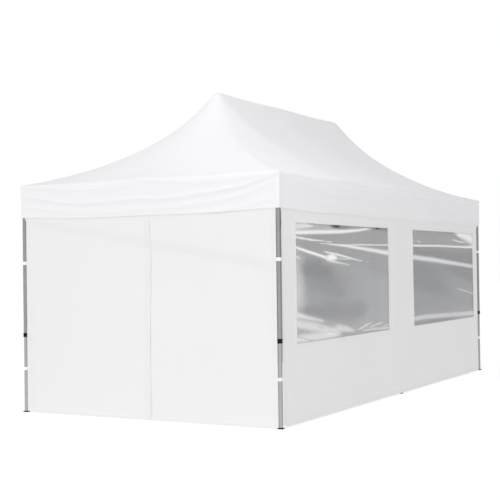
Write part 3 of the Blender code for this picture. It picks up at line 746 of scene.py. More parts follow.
stitch_sizes = {"Stitch Length": 0.0050, "Pitch": 0.0085, "Thread": 0.0011}
sewing = grower("sewing", "Lines", stitch_sizes, beads, 4, 3, True, "Stitch Length", "Thread", "Thread")
white_thread = finish("polyester thread", "polyester_cloth", polyester_thread)
roof_thread = grown(sewing, line_mesh(roof_seam_lines()), white_thread)
roof_stitching = fit_piece("roof_stitching", [roof_thread], white_thread)

# Long walls
# Each is one width of coated polyester that hangs behind the valance, hemmed all round, with two
# window openings that are turned in and sewn as a flat frame. Its lower corners are cut up a little.

WALL_INSET, WALL_TOP, WALL_BOTTOM, VALANCE_FOOT = 0.0023, 2.25, 0.012, 1.94
WALL_HEM, HEM_STEP, FRAME_BAND, SEAM_FROM_FOLD, WALL_STEP = 0.028, 0.0015, 0.022, 0.004, 0.034
LIFT_ALONG, LIFT_UP = 0.07, 0.020
LEG_INSET, BESIDE_LEG, OVER_LEG = 0.0265, 0.005, 0.005
LONG_WALL_PULL, PULL_REACH = 0.027, 0.11
FILM_LAP = 0.015

leg_x, leg_y = HALF_LENGTH - LEG_INSET, HALF_WIDTH - LEG_INSET
wall_span = (-leg_x + OUTER_TUBE / 2 - OVER_LEG, leg_x - OUTER_TUBE / 2 - BESIDE_LEG)
pane_low, pane_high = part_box("window_front_right")
window_near, window_far = pane_low.x + FILM_LAP, pane_high.x - FILM_LAP
window_foot, window_head = pane_low.z + FILM_LAP, pane_high.z - FILM_LAP


def ramp(value, start, end):
    """0 up to start, 1 past end, and smooth between."""
    share = np.clip((value - start) / (end - start), 0.0, 1.0)
    return share * share * (3 - 2 * share)


def wave(share):
    return 1 + np.sin(math.tau * share)


def inside_span(x, span):
    """How far a place along a wall is from the wall's nearer edge."""
    return np.minimum(x - span[0], span[1] - x)


def drawn_to_leg(x, z, edge, pull):
    """A wall laps over one leg. Its other edge is drawn in beside the other leg, below the lattice."""
    return pull * (1 - ramp(np.abs(edge - x), 0.004, PULL_REACH)) * ramp(1.997 - z, 0.0, 0.05)


def long_wall_swell(x, z):
    """How far the long wall swells outwards. It's still behind the valance and at the legs."""
    free = ramp(VALANCE_FOOT - z, 0.0, 0.35) * ramp(inside_span(x, wall_span), 0.0, 0.12)
    # Waves 1.9 m apart all over, upright ones 0.46 m apart near the ground, and slanting ones.
    broad = 0.0022 * wave(x / 1.9 + 0.15 + 0.8 * z / math.tau)
    hanging = 0.0016 * wave(x / 0.46 + 0.10 * np.sin(3 * z)) * ramp(0.95 - z, 0.0, 0.6)
    drawn = 0.0016 * wave(z / 0.9 + x / 2.6)
    return free * (broad + hanging + drawn) - drawn_to_leg(x, z, wall_span[1], LONG_WALL_PULL)


def stops(*marks, step=WALL_STEP):
    """Places from mark to mark, evenly spaced between two marks and no further apart than step."""
    places = [marks[0]]
    for a, b in zip(marks, marks[1:]):
        places += list(np.linspace(a, b, max(1, math.ceil((b - a) / step - 1e-6)) + 1)[1:])
    return np.array(places)


def hem_marks(low, high):
    """Where the hems along two edges begin and end, with a narrow step up to each."""
    stepped = WALL_HEM + HEM_STEP
    return (low, low + WALL_HEM, low + stepped), (high - stepped, high - WALL_HEM, high)


def on_wall(swell, plane, span, windows=()):
    """A function that puts places x and z on a wall's outer face, above its turned hems and sewn frames."""
    def place(x, z, above=0.0, hem=HEM_RISE):
        x, z = np.broadcast_arrays(np.asarray(x, float), np.asarray(z, float))
        from_edge = np.minimum(inside_span(x, span), np.minimum(z - WALL_BOTTOM, WALL_TOP - z))
        raised = from_edge < WALL_HEM + 1e-6
        reach = FRAME_BAND + 1e-6
        for near, far in windows:
            across = np.minimum(x - near, far - x)
            raised = raised | (np.minimum(across, np.minimum(z - window_foot, window_head - z)) > -reach)
        proud = hem * raised * (z < VALANCE_FOOT)
        return np.stack((x, WALL_INSET - plane - swell(x, z) - proud - above, z), axis=-1)

    return place


wall_windows = ((-window_far, -window_near), (window_near, window_far))
on_long_wall = on_wall(long_wall_swell, HALF_WIDTH, wall_span, wall_windows)


def long_wall_mesh():
    bent = []
    for low, high in ((window_near, window_far), (window_foot, window_head)):
        before = (low - FRAME_BAND - HEM_STEP, low - FRAME_BAND, low)
        bent.append((*before, high, high + FRAME_BAND, high + FRAME_BAND + HEM_STEP))
    left, right = hem_marks(*wall_span)
    across = stops(*left, *(-m for m in reversed(bent[0])), *bent[0], *right)
    low, high = hem_marks(WALL_BOTTOM, WALL_TOP)
    up = stops(*low, *bent[1], *high)[::-1]
    x, z = np.meshgrid(across, up)
    points = on_long_wall(x, z)
    to_corner = np.clip(1 - inside_span(x, wall_span) / LIFT_ALONG, 0, 1)
    points[:, :, 2] += LIFT_UP * to_corner * np.clip(1 - (z - WALL_BOTTOM) / 0.2, 0, 1)
    middle_x, middle_z = np.meshgrid(np.abs((across[1:] + across[:-1]) / 2), (up[1:] + up[:-1]) / 2)
    in_window = (middle_x > window_near) & (middle_x < window_far)
    in_window &= (middle_z > window_foot) & (middle_z < window_head)
    return cloth_grid(points, np.stack((x, z), axis=2), keeps=~in_window)


def rectangle(low_x, high_x, low_z, high_z, step=0.04):
    """A closed line round a rectangle on the long wall."""
    corners = ((low_x, low_z), (high_x, low_z), (high_x, high_z), (low_x, high_z), (low_x, low_z))
    line = []
    for (x0, z0), (x1, z1) in zip(corners, corners[1:]):
        share = np.linspace(0, 1, max(2, round(math.dist((x0, z0), (x1, z1)) / step)))
        line.append(on_long_wall(x0 + (x1 - x0) * share, z0 + (z1 - z0) * share, ABOVE_CLOTH))
    return np.concatenate(line)


seam = WALL_HEM - SEAM_FROM_FOLD
left, right = wall_span[0] + LIFT_ALONG, wall_span[1] - LIFT_ALONG
lines = [rectangle(left, right, WALL_BOTTOM + seam, WALL_TOP - seam)]
for near, far in wall_windows:
    for away in (SEAM_FROM_FOLD, FRAME_BAND - SEAM_FROM_FOLD):
        lines.append(rectangle(near - away, far + away, window_foot - away, window_head + away))
wall_cloth = finish(
    "coated polyester, walls", "polyester_cloth", coated_polyester, "#F5F4F4", "#F2F1F1", 0.18,
)
long_wall = thickened(long_wall_mesh())
long_wall_thread = grown(sewing, line_mesh(lines), white_thread)
for side, turn in (("front", 0.0), ("back", math.pi)):
    name = f"long_wall_{side}"
    wall = fit_piece(name, [long_wall], wall_cloth, f"wall_{side}", turn=turn, crease=50.0)
    thread = fit_piece(f"{name}_stitching", [long_wall_thread], white_thread, turn=turn)

# Windows
# Panes of clear flexible vinyl sheet, welded behind the openings. The sheet is limp, and it stays
# whitish wherever it was folded or pulled: long creases run in from the corners that carry it. That
# white is partly painted highlights and reflections along the crests, under a painted white veil.

FILM = 0.0007
PANE_ACROSS, PANE_UP = 0.022, 0.010
CREASE_RELIEF = 0.0022
# Each crease is its strength in percent and then its course: how far along the pane in percent, how far
# down in thousandths, seen from outside, and its width in mm. Its white is partly stress whitening and
# partly painted highlights and reflections; the broad soft bands are painted light. A dark patch has a
# strength below 0, and takes the painted white away there.
LEFT_CREASES = (
    (90, 1, 82, 35, 16, 73, 33, 32, 65, 34, 45, 56, 34, 63, 38, 26, 77, 16, 13),
    (62, 2, 30, 62, 8, 21, 47, 17, 20, 8),
    (70, 19, 1, 8, 24, 5, 6),
    (85, 1, 122, 17, 16, 140, 14, 34, 150, 5),
    (80, 23, 170, 6, 49, 174, 10, 100, 165, 13),
    (80, 31, 172, 8, 49, 183, 19, 77, 214, 36, 100, 243, 46),
    (95, 0, 204, 20, 12, 240, 24, 24, 274, 26, 30, 292, 33),
    (100, 30, 288, 45, 35, 286, 58, 40, 291, 33),
    (50, 30, 310, 25, 41, 332, 17, 55, 359, 5),
    (50, 41, 295, 10, 49, 302, 10, 55, 300, 7),
    (75, 27, 238, 11, 41, 262, 22, 54, 291, 14, 70, 325, 5),
    (30, 73, 329, 7, 81, 333, 7),
    (40, 1, 282, 23, 4, 297, 19),
    (32, -18, 500, 560, 6, 500, 520),
    (52, 1, 764, 46, 12, 792, 47, 26, 837, 32),
    (48, 1, 839, 85, 16, 877, 80, 41, 955, 58),
    (52, 1, 963, 77, 16, 962, 72, 41, 970, 42),
    (42, 37, 899, 66, 49, 928, 68, 58, 960, 34),
    (50, 63, 958, 14, 72, 922, 14, 78, 908, 9),
    (50, 77, 950, 12, 85, 927, 14, 92, 918, 9),
    (45, 93, 960, 13, 100, 938, 11),
    (40, 68, 967, 18, 100, 979, 19),
    (20, 5, 35, 50, 22, 36, 60, 40, 30, 50),
    (-75, 5, 390, 110, 20, 395, 190, 36, 440, 150),
    (-55, 10, 560, 300, 33, 590, 380, 50, 640, 260),
    (-90, 6, 735, 70, 31, 765, 180, 54, 785, 250, 74, 760, 150),
    (-100, 36, 10, 38, 53, 13, 38),
    (-100, 80, 8, 44, 97, 10, 44),
    (-50, 18, 790, 10, 26, 819, 8),
    (-40, 20, 881, 11, 26, 899, 10),
    (-40, 1, 867, 11, 8, 907, 9),
    (-45, 1, 942, 12, 15, 995, 11),
    (-35, 31, 929, 11, 41, 970, 12),
)
RIGHT_CREASES = (
    (12, 0, 80, 190, 100, 110, 220),
    (100, 0, 163, 17, 41, 159, 18, 66, 162, 18, 85, 164, 21, 100, 161, 27),
    (62, 0, 283, 50, 29, 309, 48, 66, 354, 46, 100, 394, 43),
    (92, 70, 14, 26, 74, 22, 52, 86, 38, 92, 94, 54, 124, 100, 66, 152),
    (85, 65, 83, 11, 74, 101, 15, 86, 110, 11),
    (80, 0, 112, 10, 2, 117, 8),
    (60, 7, 116, 12, 12, 123, 10),
    (20, 71, 647, 23, 87, 684, 23, 97, 715, 24),
    (35, 1, 927, 50, 18, 920, 51, 53, 933, 54, 100, 953, 57),
)


def creased(creases, along, down, tall, bloom):
    """How white the film is at each place, as crease whitening and painted highlights, and how far it stands
    out.
    """
    white = np.full_like(along, bloom)
    dark = np.ones_like(along)
    relief = np.zeros_like(along)
    for strength, *course in creases:
        strength /= 100
        stations, depths, widths = (np.reshape(course, (-1, 3)) / (100, 1000, 1)).T
        half = np.interp(along, stations, widths) / 2000
        offset = (down - np.interp(along, stations, depths)) * tall / half
        start, end = stations[0], stations[-1]
        soft = min(0.02 + widths.max() / 2000, (end - start) / 4, 0.06)
        # A crease that starts or ends in the weld doesn't fade there.
        fades_in = (start - soft, start + soft) if start > 0.03 else (start - 0.05, start - 0.03)
        touch = ramp(along, *fades_in) * (1 - ramp(along, end - soft, end + soft) if end < 0.97 else 1.0)
        band = touch * np.exp(-np.abs(offset * 0.9) ** 3)
        if strength > 0:
            white = 1 - (1 - white) * (1 - strength * band)
            relief += strength * np.minimum(half / 0.015, 1.0) * touch * np.exp(-(offset**2) / 2)
        else:
            dark *= 1 + strength * band
    return white * dark, relief


def pane_mesh(near, far, creases, bloom):
    """A pane of the front wall, which it lies against and swells with. The last argument is a painted white
    veil of reflected light over the whole pane.
    """
    wide, tall = far - near, window_head - window_foot
    across = stops(near - FILM_LAP, near, far, far + FILM_LAP, step=PANE_ACROSS)
    up = stops(window_foot - FILM_LAP, window_foot, window_head, window_head + FILM_LAP, step=PANE_UP)[::-1]
    x, z = np.meshgrid(across, up)
    along, down = (x - near) / wide, (window_head - z) / tall
    white, relief = creased(creases, along, down, tall, bloom)
    inside = np.minimum(np.minimum(along, 1 - along) * wide, np.minimum(down, 1 - down) * tall)
    pillow = 0.0016 * np.sin(math.tau * (x * 0.4 + z * 1.7))
    # The pane's face stays behind the wall's outer face, so that nothing of it stands in the frame.
    slack = np.clip(inside / 0.05, 0, 1) * (np.clip(CREASE_RELIEF * relief, 0, 0.004) + pillow - 0.0030)
    out = long_wall_swell(x, z) - CLOTH - 0.0004 + slack
    mesh = cloth_grid(np.stack((x, -HALF_WIDTH + WALL_INSET - out, z), axis=2), np.stack((x, z), axis=2))
    # The white of each place goes to the shader: crease whitening with painted highlights and reflections.
    haze = mesh.attributes.new("Haze", "FLOAT", "POINT")
    haze.data.foreach_set("value", white.ravel().astype(np.float32))
    return thickened(mesh, FILM)


def clear_vinyl(add, place):
    """Clear flexible vinyl sheet: glossy and slightly grey, whitened where it has creased, partly with
    painted highlights and reflections.
    """
    # The white of each place: crease whitening, painted highlights and reflections, and the painted veil.
    creases = add("ShaderNodeAttribute", attribute_name="Haze").outputs["Fac"]
    # The sheet clouds in long patches about 300 mm tall, where it was rolled up damp.
    flattened = add("ShaderNodeMapping", {"Vector": place, "Scale": (1.2, 1.2, 3.3)})
    clouds = add("ShaderNodeTexNoise", {"Vector": flattened, "Scale": 1.0, "Detail": 2.0})
    bloom = add("ShaderNodeMapRange", {"Value": clouds, "From Min": 0.35, "From Max": 0.65, "To Max": 0.02})
    whole = add("ShaderNodeMath", {0: bloom, 1: creases}, operation="ADD", use_clamp=True)
    clear = add("ShaderNodeBsdfTransparent", {"Color": linear("#DFE0E1")})
    # The sheet is calendered, and its faint ripples are about 15 mm apart.
    ripples = add("ShaderNodeTexNoise", {"Vector": place, "Scale": 65.0, "Detail": 1.0})
    relief = add("ShaderNodeBump", {"Height": ripples, "Strength": 0.10, "Distance": 0.001})
    shine = add("ShaderNodeBsdfAnisotropic", {"Color": linear(WHITE), "Roughness": 0.09, "Normal": relief})
    # Each face of the sheet reflects a little, and far more at a low angle, the same from both sides.
    facing = add("ShaderNodeLayerWeight", {"Blend": 0.5}).outputs["Facing"]
    steep = add("ShaderNodeMath", {0: facing, 1: 5.0}, operation="POWER")
    gloss = add("ShaderNodeMapRange", {"Value": steep, "To Min": 0.02, "To Max": 0.50})
    polished = add("ShaderNodeMixShader", {0: gloss, 1: clear, 2: shine})
    white = add("ShaderNodeBsdfPrincipled", {
        "Base Color": linear(WHITE), "Roughness": 0.25, "IOR": 1.53, "Normal": relief,
        "Coat Weight": 1.0, "Coat Roughness": 0.09,
    })
    return add("ShaderNodeMixShader", {0: whole, 1: polished, 2: white})


vinyl = finish("clear vinyl sheet", "window_film", clear_vinyl)
# The left pane takes a heavier painted white veil than the right, standing in for the reflected light it
# shows.
panes = (pane_mesh(*wall_windows[0], LEFT_CREASES, 0.13), pane_mesh(*wall_windows[1], RIGHT_CREASES, 0.02))
for side, turn, ends in (("front", 0.0, ("left", "right")), ("back", math.pi, ("right", "left"))):
    for end, pane in zip(ends, panes):
        film = fit_piece(f"window_pane_{side}_{end}", [pane], vinyl, f"window_{side}_{end}", turn=turn)

# End walls
# Two halves of the same polyester, which meet in a long zip a little off the middle. A sewn fly covers
# the zip. The cloth is drawn towards the straps, so one long soft fold crosses both halves.

ZIP_OFF_MIDDLE, ZIP_GAP, ZIP_SEAMS = 0.060, 0.0032, (0.006, 0.024)
FLY_SEWN, FLY_FREE, FLY_TOP = 0.030, 0.090, 1.985
TAPE_EDGES, TAPE_THICKNESS = (0.0016, 0.020), 0.0006
FOLD_START, FOLD_FALL, FOLD_DEPTH, FOLD_REACH = 2.0, 0.49, 0.022, 0.085
END_WALL_PULL = 0.016
ENDS = (("left", -math.pi / 2, ("back", "front")), ("right", math.pi / 2, ("front", "back")))

end_leg = leg_y - OUTER_TUBE / 2
end_span = (-end_leg + BESIDE_LEG, end_leg + OVER_LEG)


def end_wall_swell(x, z):
    """How far an end wall swells outwards. x is measured as for a wall that faces the front."""
    free = ramp(VALANCE_FOOT + 0.04 - z, 0.0, 0.12) * ramp(inside_span(x, end_span), 0.02, 0.16)
    below = FOLD_START - FOLD_FALL * (x + end_leg) / (2 * end_leg) - z
    drawn_in = FOLD_DEPTH * ramp(below, -0.01, FOLD_REACH) * (1 - ramp(below, FOLD_REACH, 1.1))
    belly = 0.0030 * np.sin(np.pi * np.clip(z / 1.6, 0, 1)) * np.cos(np.pi * x / (2 * end_leg)) ** 2
    low_waves = 0.0012 * wave(x / 0.52 + 0.12 * np.sin(2.5 * z)) * ramp(0.8 - z, 0.0, 0.6)
    beside_zip = 0.0014 * np.exp(-(((x - ZIP_OFF_MIDDLE) / 0.05) ** 2)) * ramp(VALANCE_FOOT - z, 0.0, 0.1)
    drawn = drawn_to_leg(x, z, end_span[0], END_WALL_PULL)
    return free * (belly + low_waves - drawn_in) + beside_zip - drawn


on_end_wall = on_wall(end_wall_swell, HALF_LENGTH, end_span)


def end_cloth(across, up, above=0.0, hem=HEM_RISE, thickness=CLOTH):
    """A cloth on an end wall, drawn facing the front, over places across it and up it."""
    x, z = np.meshgrid(across, up)
    return thickened(cloth_grid(on_end_wall(x, z, above, hem), np.stack((x, z), axis=2)), thickness)


def end_half_mesh(low_x, high_x):
    """One half, with hems at its leg, at the ground and at the top, and turned in at the zip."""
    left, right = hem_marks(low_x, high_x)
    by_back_leg = low_x == end_span[0]
    across = stops(*(left if by_back_leg else left[:1]), *(right[-1:] if by_back_leg else right))
    low, high = hem_marks(WALL_BOTTOM, WALL_TOP)
    return end_cloth(across, stops(*low, *high)[::-1])


def end_half_lines(low_x, high_x):
    """Seams at the leg, two beside the zip, and one in the hem at the ground and at the top."""
    by_back_leg = low_x == end_span[0]
    leg_seam, zip_edge, away = (low_x + seam, high_x, -1) if by_back_leg else (high_x - seam, low_x, 1)
    up = np.linspace(WALL_BOTTOM + 0.01, WALL_TOP - 0.01, 60)
    along = np.linspace(low_x + 0.01, high_x - 0.01, 40)
    upright = (leg_seam, *(zip_edge + away * inset for inset in ZIP_SEAMS))
    lines = [on_end_wall(x, up, ABOVE_CLOTH) for x in upright]
    return lines + [on_end_wall(along, z, ABOVE_CLOTH) for z in (WALL_BOTTOM + seam, WALL_TOP - seam)]


def fly_mesh():
    """The strip over the zip. It is sewn along one edge, and its free edge stands off the wall a little."""
    share = np.linspace(0.0, 1.0, 9)
    z = stops(WALL_BOTTOM + 0.003, FLY_TOP, step=0.035)[::-1, None]
    belly = 0.0026 * np.sin(np.pi * share) + 0.0024 * share**2 * (1 + 0.5 * np.sin(math.tau * z / 0.62))
    above = CLOTH + 0.0003 + belly * ramp(FLY_TOP - z, 0.0, 0.12)
    return end_cloth(FLY_SEWN + share * (FLY_FREE - FLY_SEWN), z, above)


def zip_tape_mesh(side):
    """The woven tape of one half of the zip, sewn behind the cloth. side is -1 or 1."""
    across = np.linspace(*sorted(ZIP_OFF_MIDDLE + side * edge for edge in TAPE_EDGES), 3)
    up = stops(WALL_BOTTOM + 0.004, WALL_TOP - 0.02, step=0.06)[::-1]
    return end_cloth(across, up, -CLOTH - 0.0002, 0.0, TAPE_THICKNESS)


def zip_slider():
    """The slider at the foot of the closed zip, with its pull hanging under the fly."""
    shapes = []
    # Each level is its width, its corner's radius, its depth and its height.
    for levels in (
        ((0.0070, 0.0007, 0.0016, 0.034), (0.0100, 0.0010, 0.0022, 0.038), (0.0100, 0.0010, 0.0022, 0.050),
         (0.0060, 0.0007, 0.0016, 0.054)),
        ((0.0040, 0.0004, 0.0009, 0.016), (0.0064, 0.0005, 0.0010, 0.020), (0.0044, 0.0005, 0.0010, 0.044)),
    ):
        shapes.append(stacked(*((box_line(*section), height) for *section, height in levels)))
    shapes[1].transform(Matrix.Translation((0.0, -0.0015, 0.0)))
    return joined(shapes, (ZIP_OFF_MIDDLE, on_end_wall(ZIP_OFF_MIDDLE, 0.05)[1] + 0.0004, 0.0))


def moulded_white(add, place):
    """Moulded white nylon of a zip's coil: off-white and satin, with a faint flow pattern from the mould."""
    flow = add("ShaderNodeTexNoise", {"Vector": place, "Scale": 220.0, "Detail": 1.0})
    tone = add("ShaderNodeMixRGB", {"Fac": flow, "Color1": linear("#E4E5E6"), "Color2": linear("#F0F0F0")})
    dull = add("ShaderNodeMapRange", {"Value": flow, "To Min": 0.28, "To Max": 0.42})
    return add("ShaderNodeBsdfPrincipled", {"Base Color": tone, "Roughness": dull, "IOR": 1.53})


white_nylon = finish("moulded white nylon", "polyester_cloth", moulded_white)
tooth_sizes = {"Pitch": 0.0060, "Tooth Width": 0.0046, "Tooth Height": 0.0032, "Tooth Depth": 0.0018}
tooth_axes = ("Tooth Width", "Tooth Depth", "Tooth Height")
teeth_tree = grower("zip teeth", "Lines", tooth_sizes, beads, 6, 4, False, *tooth_axes)
back_span = (end_span[0], ZIP_OFF_MIDDLE - ZIP_GAP)
front_span = (ZIP_OFF_MIDDLE + ZIP_GAP, end_span[1])
end_halves = {}
for span, side in ((back_span, -1), (front_span, 1)):
    thread = grown(sewing, line_mesh(end_half_lines(*span)), white_thread)
    end_halves[span] = (end_half_mesh(*span), zip_tape_mesh(side), thread)
fly = fly_mesh()
seam_up = np.linspace(0.02, FLY_TOP - 0.01, 60)
fly_seam = on_end_wall(FLY_SEWN + 0.005, seam_up, ABOVE_CLOTH + CLOTH + 0.0006)
fly_thread = grown(sewing, line_mesh([fly_seam]), white_thread)
teeth_line = on_end_wall(ZIP_OFF_MIDDLE, np.linspace(0.06, WALL_TOP - 0.03, 60), -CLOTH)
teeth = grown(teeth_tree, line_mesh([teeth_line]), white_nylon)
slider = zip_slider()
for end, turn, corners in ENDS:
    for (span, (cloth, tape, thread)), corner in zip(end_halves.items(), corners):
        name = f"{end}_{corner}_half"
        panel = fit_piece(f"end_wall_{name}", [cloth], wall_cloth, f"wall_{name}", turn=turn, crease=50.0)
        trims = [
            fit_piece(f"end_wall_{name}_stitching", [thread], white_thread, turn=turn),
            fit_piece(f"zip_tape_{name}", [tape], wall_cloth, turn=turn),
        ]
        if span == back_span:
            trims += [
                fit_piece(f"zip_fly_{end}", [fly], wall_cloth, turn=turn, crease=50.0),
                fit_piece(f"zip_fly_{end}_stitching", [fly_thread], white_thread, turn=turn),
                fit_piece(f"zip_teeth_{end}", [teeth], white_nylon, turn=turn),
                fit_piece(f"zip_slider_{end}", [slider], white_nylon, turn=turn),
            ]

# Straps
# Bands of woven white webbing, sewn behind the end walls' edges and closed round the corner legs, two
# to a leg. They slide up with the tent. The right end's upper pair sits higher than the left end's.

STRAP_TALL, STRAP_THICK, RIGHT_END_HIGHER = 0.032, 0.0020, 0.095
STRAPS = {"upper": (1.530, OUTER_TUBE + 0.0012), "lower": (0.446, INNER_TUBE + 0.0020)}


def strap_loop(bore, middle):
    """The band round the leg, with soft edges."""
    outs = (0.0, STRAP_THICK / 2, STRAP_THICK)
    inside, edge, face = (box_line(bore + 2 * out, TUBE_CORNER + out) for out in outs)
    low, high, soft = middle - STRAP_TALL / 2, middle + STRAP_TALL / 2, STRAP_THICK * 0.35
    return stacked(
        (inside, low + soft), (edge, low), (face, low + soft), (face, middle), (face, high - soft),
        (edge, high), (inside, high - soft), hollow=True,
    )


def strap_tab(bore, middle, side):
    """The strap's flat end, from the loop on to the wall's inner face. side is 1 or -1 along the wall."""
    inside, loop_front = leg_y - bore / 2, -leg_x - bore / 2 - STRAP_THICK + 0.0004
    places = np.linspace(inside - 0.001, inside - 0.031, 5)
    stations = [(x, on_end_wall(side * x, middle)[1] + CLOTH + 0.0014) for x in places]
    if side > 0:
        behind = stations[-1][1]
        stations = [(inside + 0.005, loop_front), (inside, (loop_front + behind) / 2)]
        stations += [(inside - 0.007, behind), (inside - 0.028, behind)]
    section = box_line(0.0014, 0.0006, STRAP_TALL - 0.002, 3)
    return skinned([[(side * x, y + p.x, middle + p.y) for p in section] for x, y in stations])


def woven_webbing(add, place):
    """Heavy polyester webbing: bright white, in broad ribs across the band that catch the light."""
    # The ribs are 1.6 mm apart, drawn at 3 mm to show.
    bands = {"Vector": place, "Scale": 105.0, "Distortion": 0.4, "Detail": 1.0}
    ribs = add("ShaderNodeTexWave", bands, bands_direction="Z").outputs["Fac"]
    fuzz = add("ShaderNodeTexNoise", {"Vector": place, "Scale": 900.0, "Detail": 2.0})
    tone = add("ShaderNodeMixRGB", {"Fac": ribs, "Color1": linear("#F4F4F5"), "Color2": linear("#FDFDFD")})
    dull = add("ShaderNodeMapRange", {"Value": fuzz, "To Min": 0.6, "To Max": 0.8})
    relief = add("ShaderNodeBump", {"Height": ribs, "Strength": 0.30, "Distance": 0.0004})
    return add("ShaderNodeBsdfPrincipled", {"Base Color": tone, "Roughness": dull, "Normal": relief})


webbing = finish("woven polyester webbing", "polyester_cloth", woven_webbing)
for end, turn, corners in ENDS:
    for side, corner in zip((-1, 1), corners):
        for height, (middle, bore) in STRAPS.items():
            if (end, height) == ("right", "upper"):
                middle += RIGHT_END_HIGHER
            loop = joined([strap_loop(bore, middle)], (side * leg_y, -leg_x, 0.0))
            tab = strap_tab(bore, middle, side)
            fit_piece(f"leg_strap_{end}_{corner}_{height}", [loop, tab], webbing, turn=turn)

# Sides of the lattice
# Pairs of crossed aluminium bars on pins, between black nylon fittings: sliders and brackets on the
# legs, and plain connectors where two scissors meet. Steel bolts with domed heads hold every joint.

LOWER_PIVOT, UPPER_PIVOT, MIDDLE_LEG_INSET = 2.026, 2.290, 0.029
BAR_DEPTH, BAR_THICKNESS, BAR_OFFSET, BAR_CORNER = 0.022, 0.010, 0.0053, 0.002
BAR_IN_FORK, BOLT_FROM_END, CLEAR = 0.012, 0.006, 0.0003
CONNECTOR_WIDTH, CONNECTOR_DEPTH, CONNECTOR_HEIGHT = 0.060, 0.040, 0.052
CONNECTOR_CORE, CONNECTOR_SKIRT = 0.035, 0.024
SLIDER_WIDTH, SLIDER_HEIGHT, BRACKET_WIDTH, BRACKET_TOP = 0.045, 0.050, 0.044, 2.318
LUG_LENGTH, LUG_WIDTH, LUG_HEIGHT, CHEEK = 0.030, 0.028, 0.038, 0.0034

lug_tip = SLIDER_WIDTH / 2 + LUG_LENGTH


def bar_line():
    """The section of a bar: a flat tube with round corners and a shallow groove down each broad face."""
    half, tall = BAR_THICKNESS / 2, BAR_DEPTH / 2
    quarter = [(half - 0.0006, 0.0022), (half, 0.0032), (half, tall - BAR_CORNER)]
    for angle in (math.pi / 4, math.pi / 2):
        in_x, in_z = (BAR_CORNER * (1 - turned) for turned in (math.cos(angle), math.sin(angle)))
        quarter.append((half - in_x, tall - in_z))
    right = [(x, -z) for x, z in reversed(quarter)] + quarter
    return right + [(-x, -z) for x, z in right]


def scissors(*spans):
    """The two crossed bars of each scissor along X, and where its bolts are."""
    bars, bolts = [], []
    for start, end in spans:
        stretch = math.hypot(1.0, (UPPER_PIVOT - LOWER_PIVOT) / (end - start))
        rising, falling = (LOWER_PIVOT, UPPER_PIVOT, -BAR_OFFSET), (UPPER_PIVOT, LOWER_PIVOT, BAR_OFFSET)
        for z_start, z_end, y in (rising, falling):
            ends = ((start, z_start), (end, z_end))
            bars.append(skinned([[(x, y + a, z + b * stretch) for a, b in bar_line()] for x, z in ends]))
        bolts.append(((start + end) / 2, 0.0, (LOWER_PIVOT + UPPER_PIVOT) / 2))
        for x in (start + BOLT_FROM_END, end - BOLT_FROM_END):
            bolts += [(x, 0.0, LOWER_PIVOT), (x, 0.0, UPPER_PIVOT)]
    return bars, bolts


def moulded_block(low, high, chamfer=0.0015, corner=0.003):
    """A moulded block with round upright edges and a chamfer above and below."""
    width, depth = high[0] - low[0], high[1] - low[1]
    whole = box_line(width, corner, depth, 2)
    less = box_line(width - 2 * chamfer, max(corner - chamfer, 0.0003), depth - 2 * chamfer, 2)
    block = stacked((less, low[2]), (whole, low[2] + chamfer), (whole, high[2] - chamfer), (less, high[2]))
    return joined([block], ((low[0] + high[0]) / 2, (low[1] + high[1]) / 2, 0.0))


def fork(root, tip, middle, tall, turn, *web):
    """Two cheeks, drawn along +X and turned, with the bars between them. web is what they stand on."""
    shapes = [*web]
    for side in (-1, 1):
        near, far = sorted((side * (LUG_WIDTH / 2 - CHEEK), side * LUG_WIDTH / 2))
        low, high = (root, near, middle - tall / 2), (tip, far, middle + tall / 2)
        shapes.append(moulded_block(low, high, 0.0008, 0.0012))
    return joined(shapes, turn=turn)


def leg_fittings(at, *turns):
    """The slider round the outer tube and the bracket on its top, with a fork towards each scissor."""
    half, low = BRACKET_WIDTH / 2, LOWER_PIVOT - SLIDER_HEIGHT / 2
    shapes = [
        moulded_sleeve(SLIDER_WIDTH, OUTER_TUBE + 0.001, low, low + SLIDER_HEIGHT),
        moulded_block((-half, -half, outer_high.z + CLEAR), (half, half, BRACKET_TOP), 0.003, 0.005),
    ]
    for turn in turns:
        for middle, face in ((LOWER_PIVOT, SLIDER_WIDTH / 2), (UPPER_PIVOT, half)):
            y, tall = LUG_WIDTH / 2, LUG_HEIGHT / 2
            web = moulded_block((face - 0.003, -y, middle - tall), (lug_tip - 0.016, y, middle + tall))
            shapes.append(fork(lug_tip - 0.018, lug_tip, middle, LUG_HEIGHT, turn, web))
    return joined(shapes, at)


def forked_pair(core, skirt, root, tip, tall, *turns):
    """A lower fitting, deeper by a skirt, and an upper one, with forks. core makes the middle of each."""
    shapes = []
    for middle, deeper in ((LOWER_PIVOT, skirt), (UPPER_PIVOT, 0.0)):
        shapes.append(core(middle - CONNECTOR_HEIGHT / 2 - deeper, middle + CONNECTOR_HEIGHT / 2))
        shapes += [fork(root, tip, middle, tall, turn) for turn in turns]
    return joined(shapes)


def connector_core(low, high):
    x, y = CONNECTOR_CORE / 2, CONNECTOR_DEPTH / 2
    return moulded_block((-x, -y, low), (x, y, high), 0.002, 0.004)


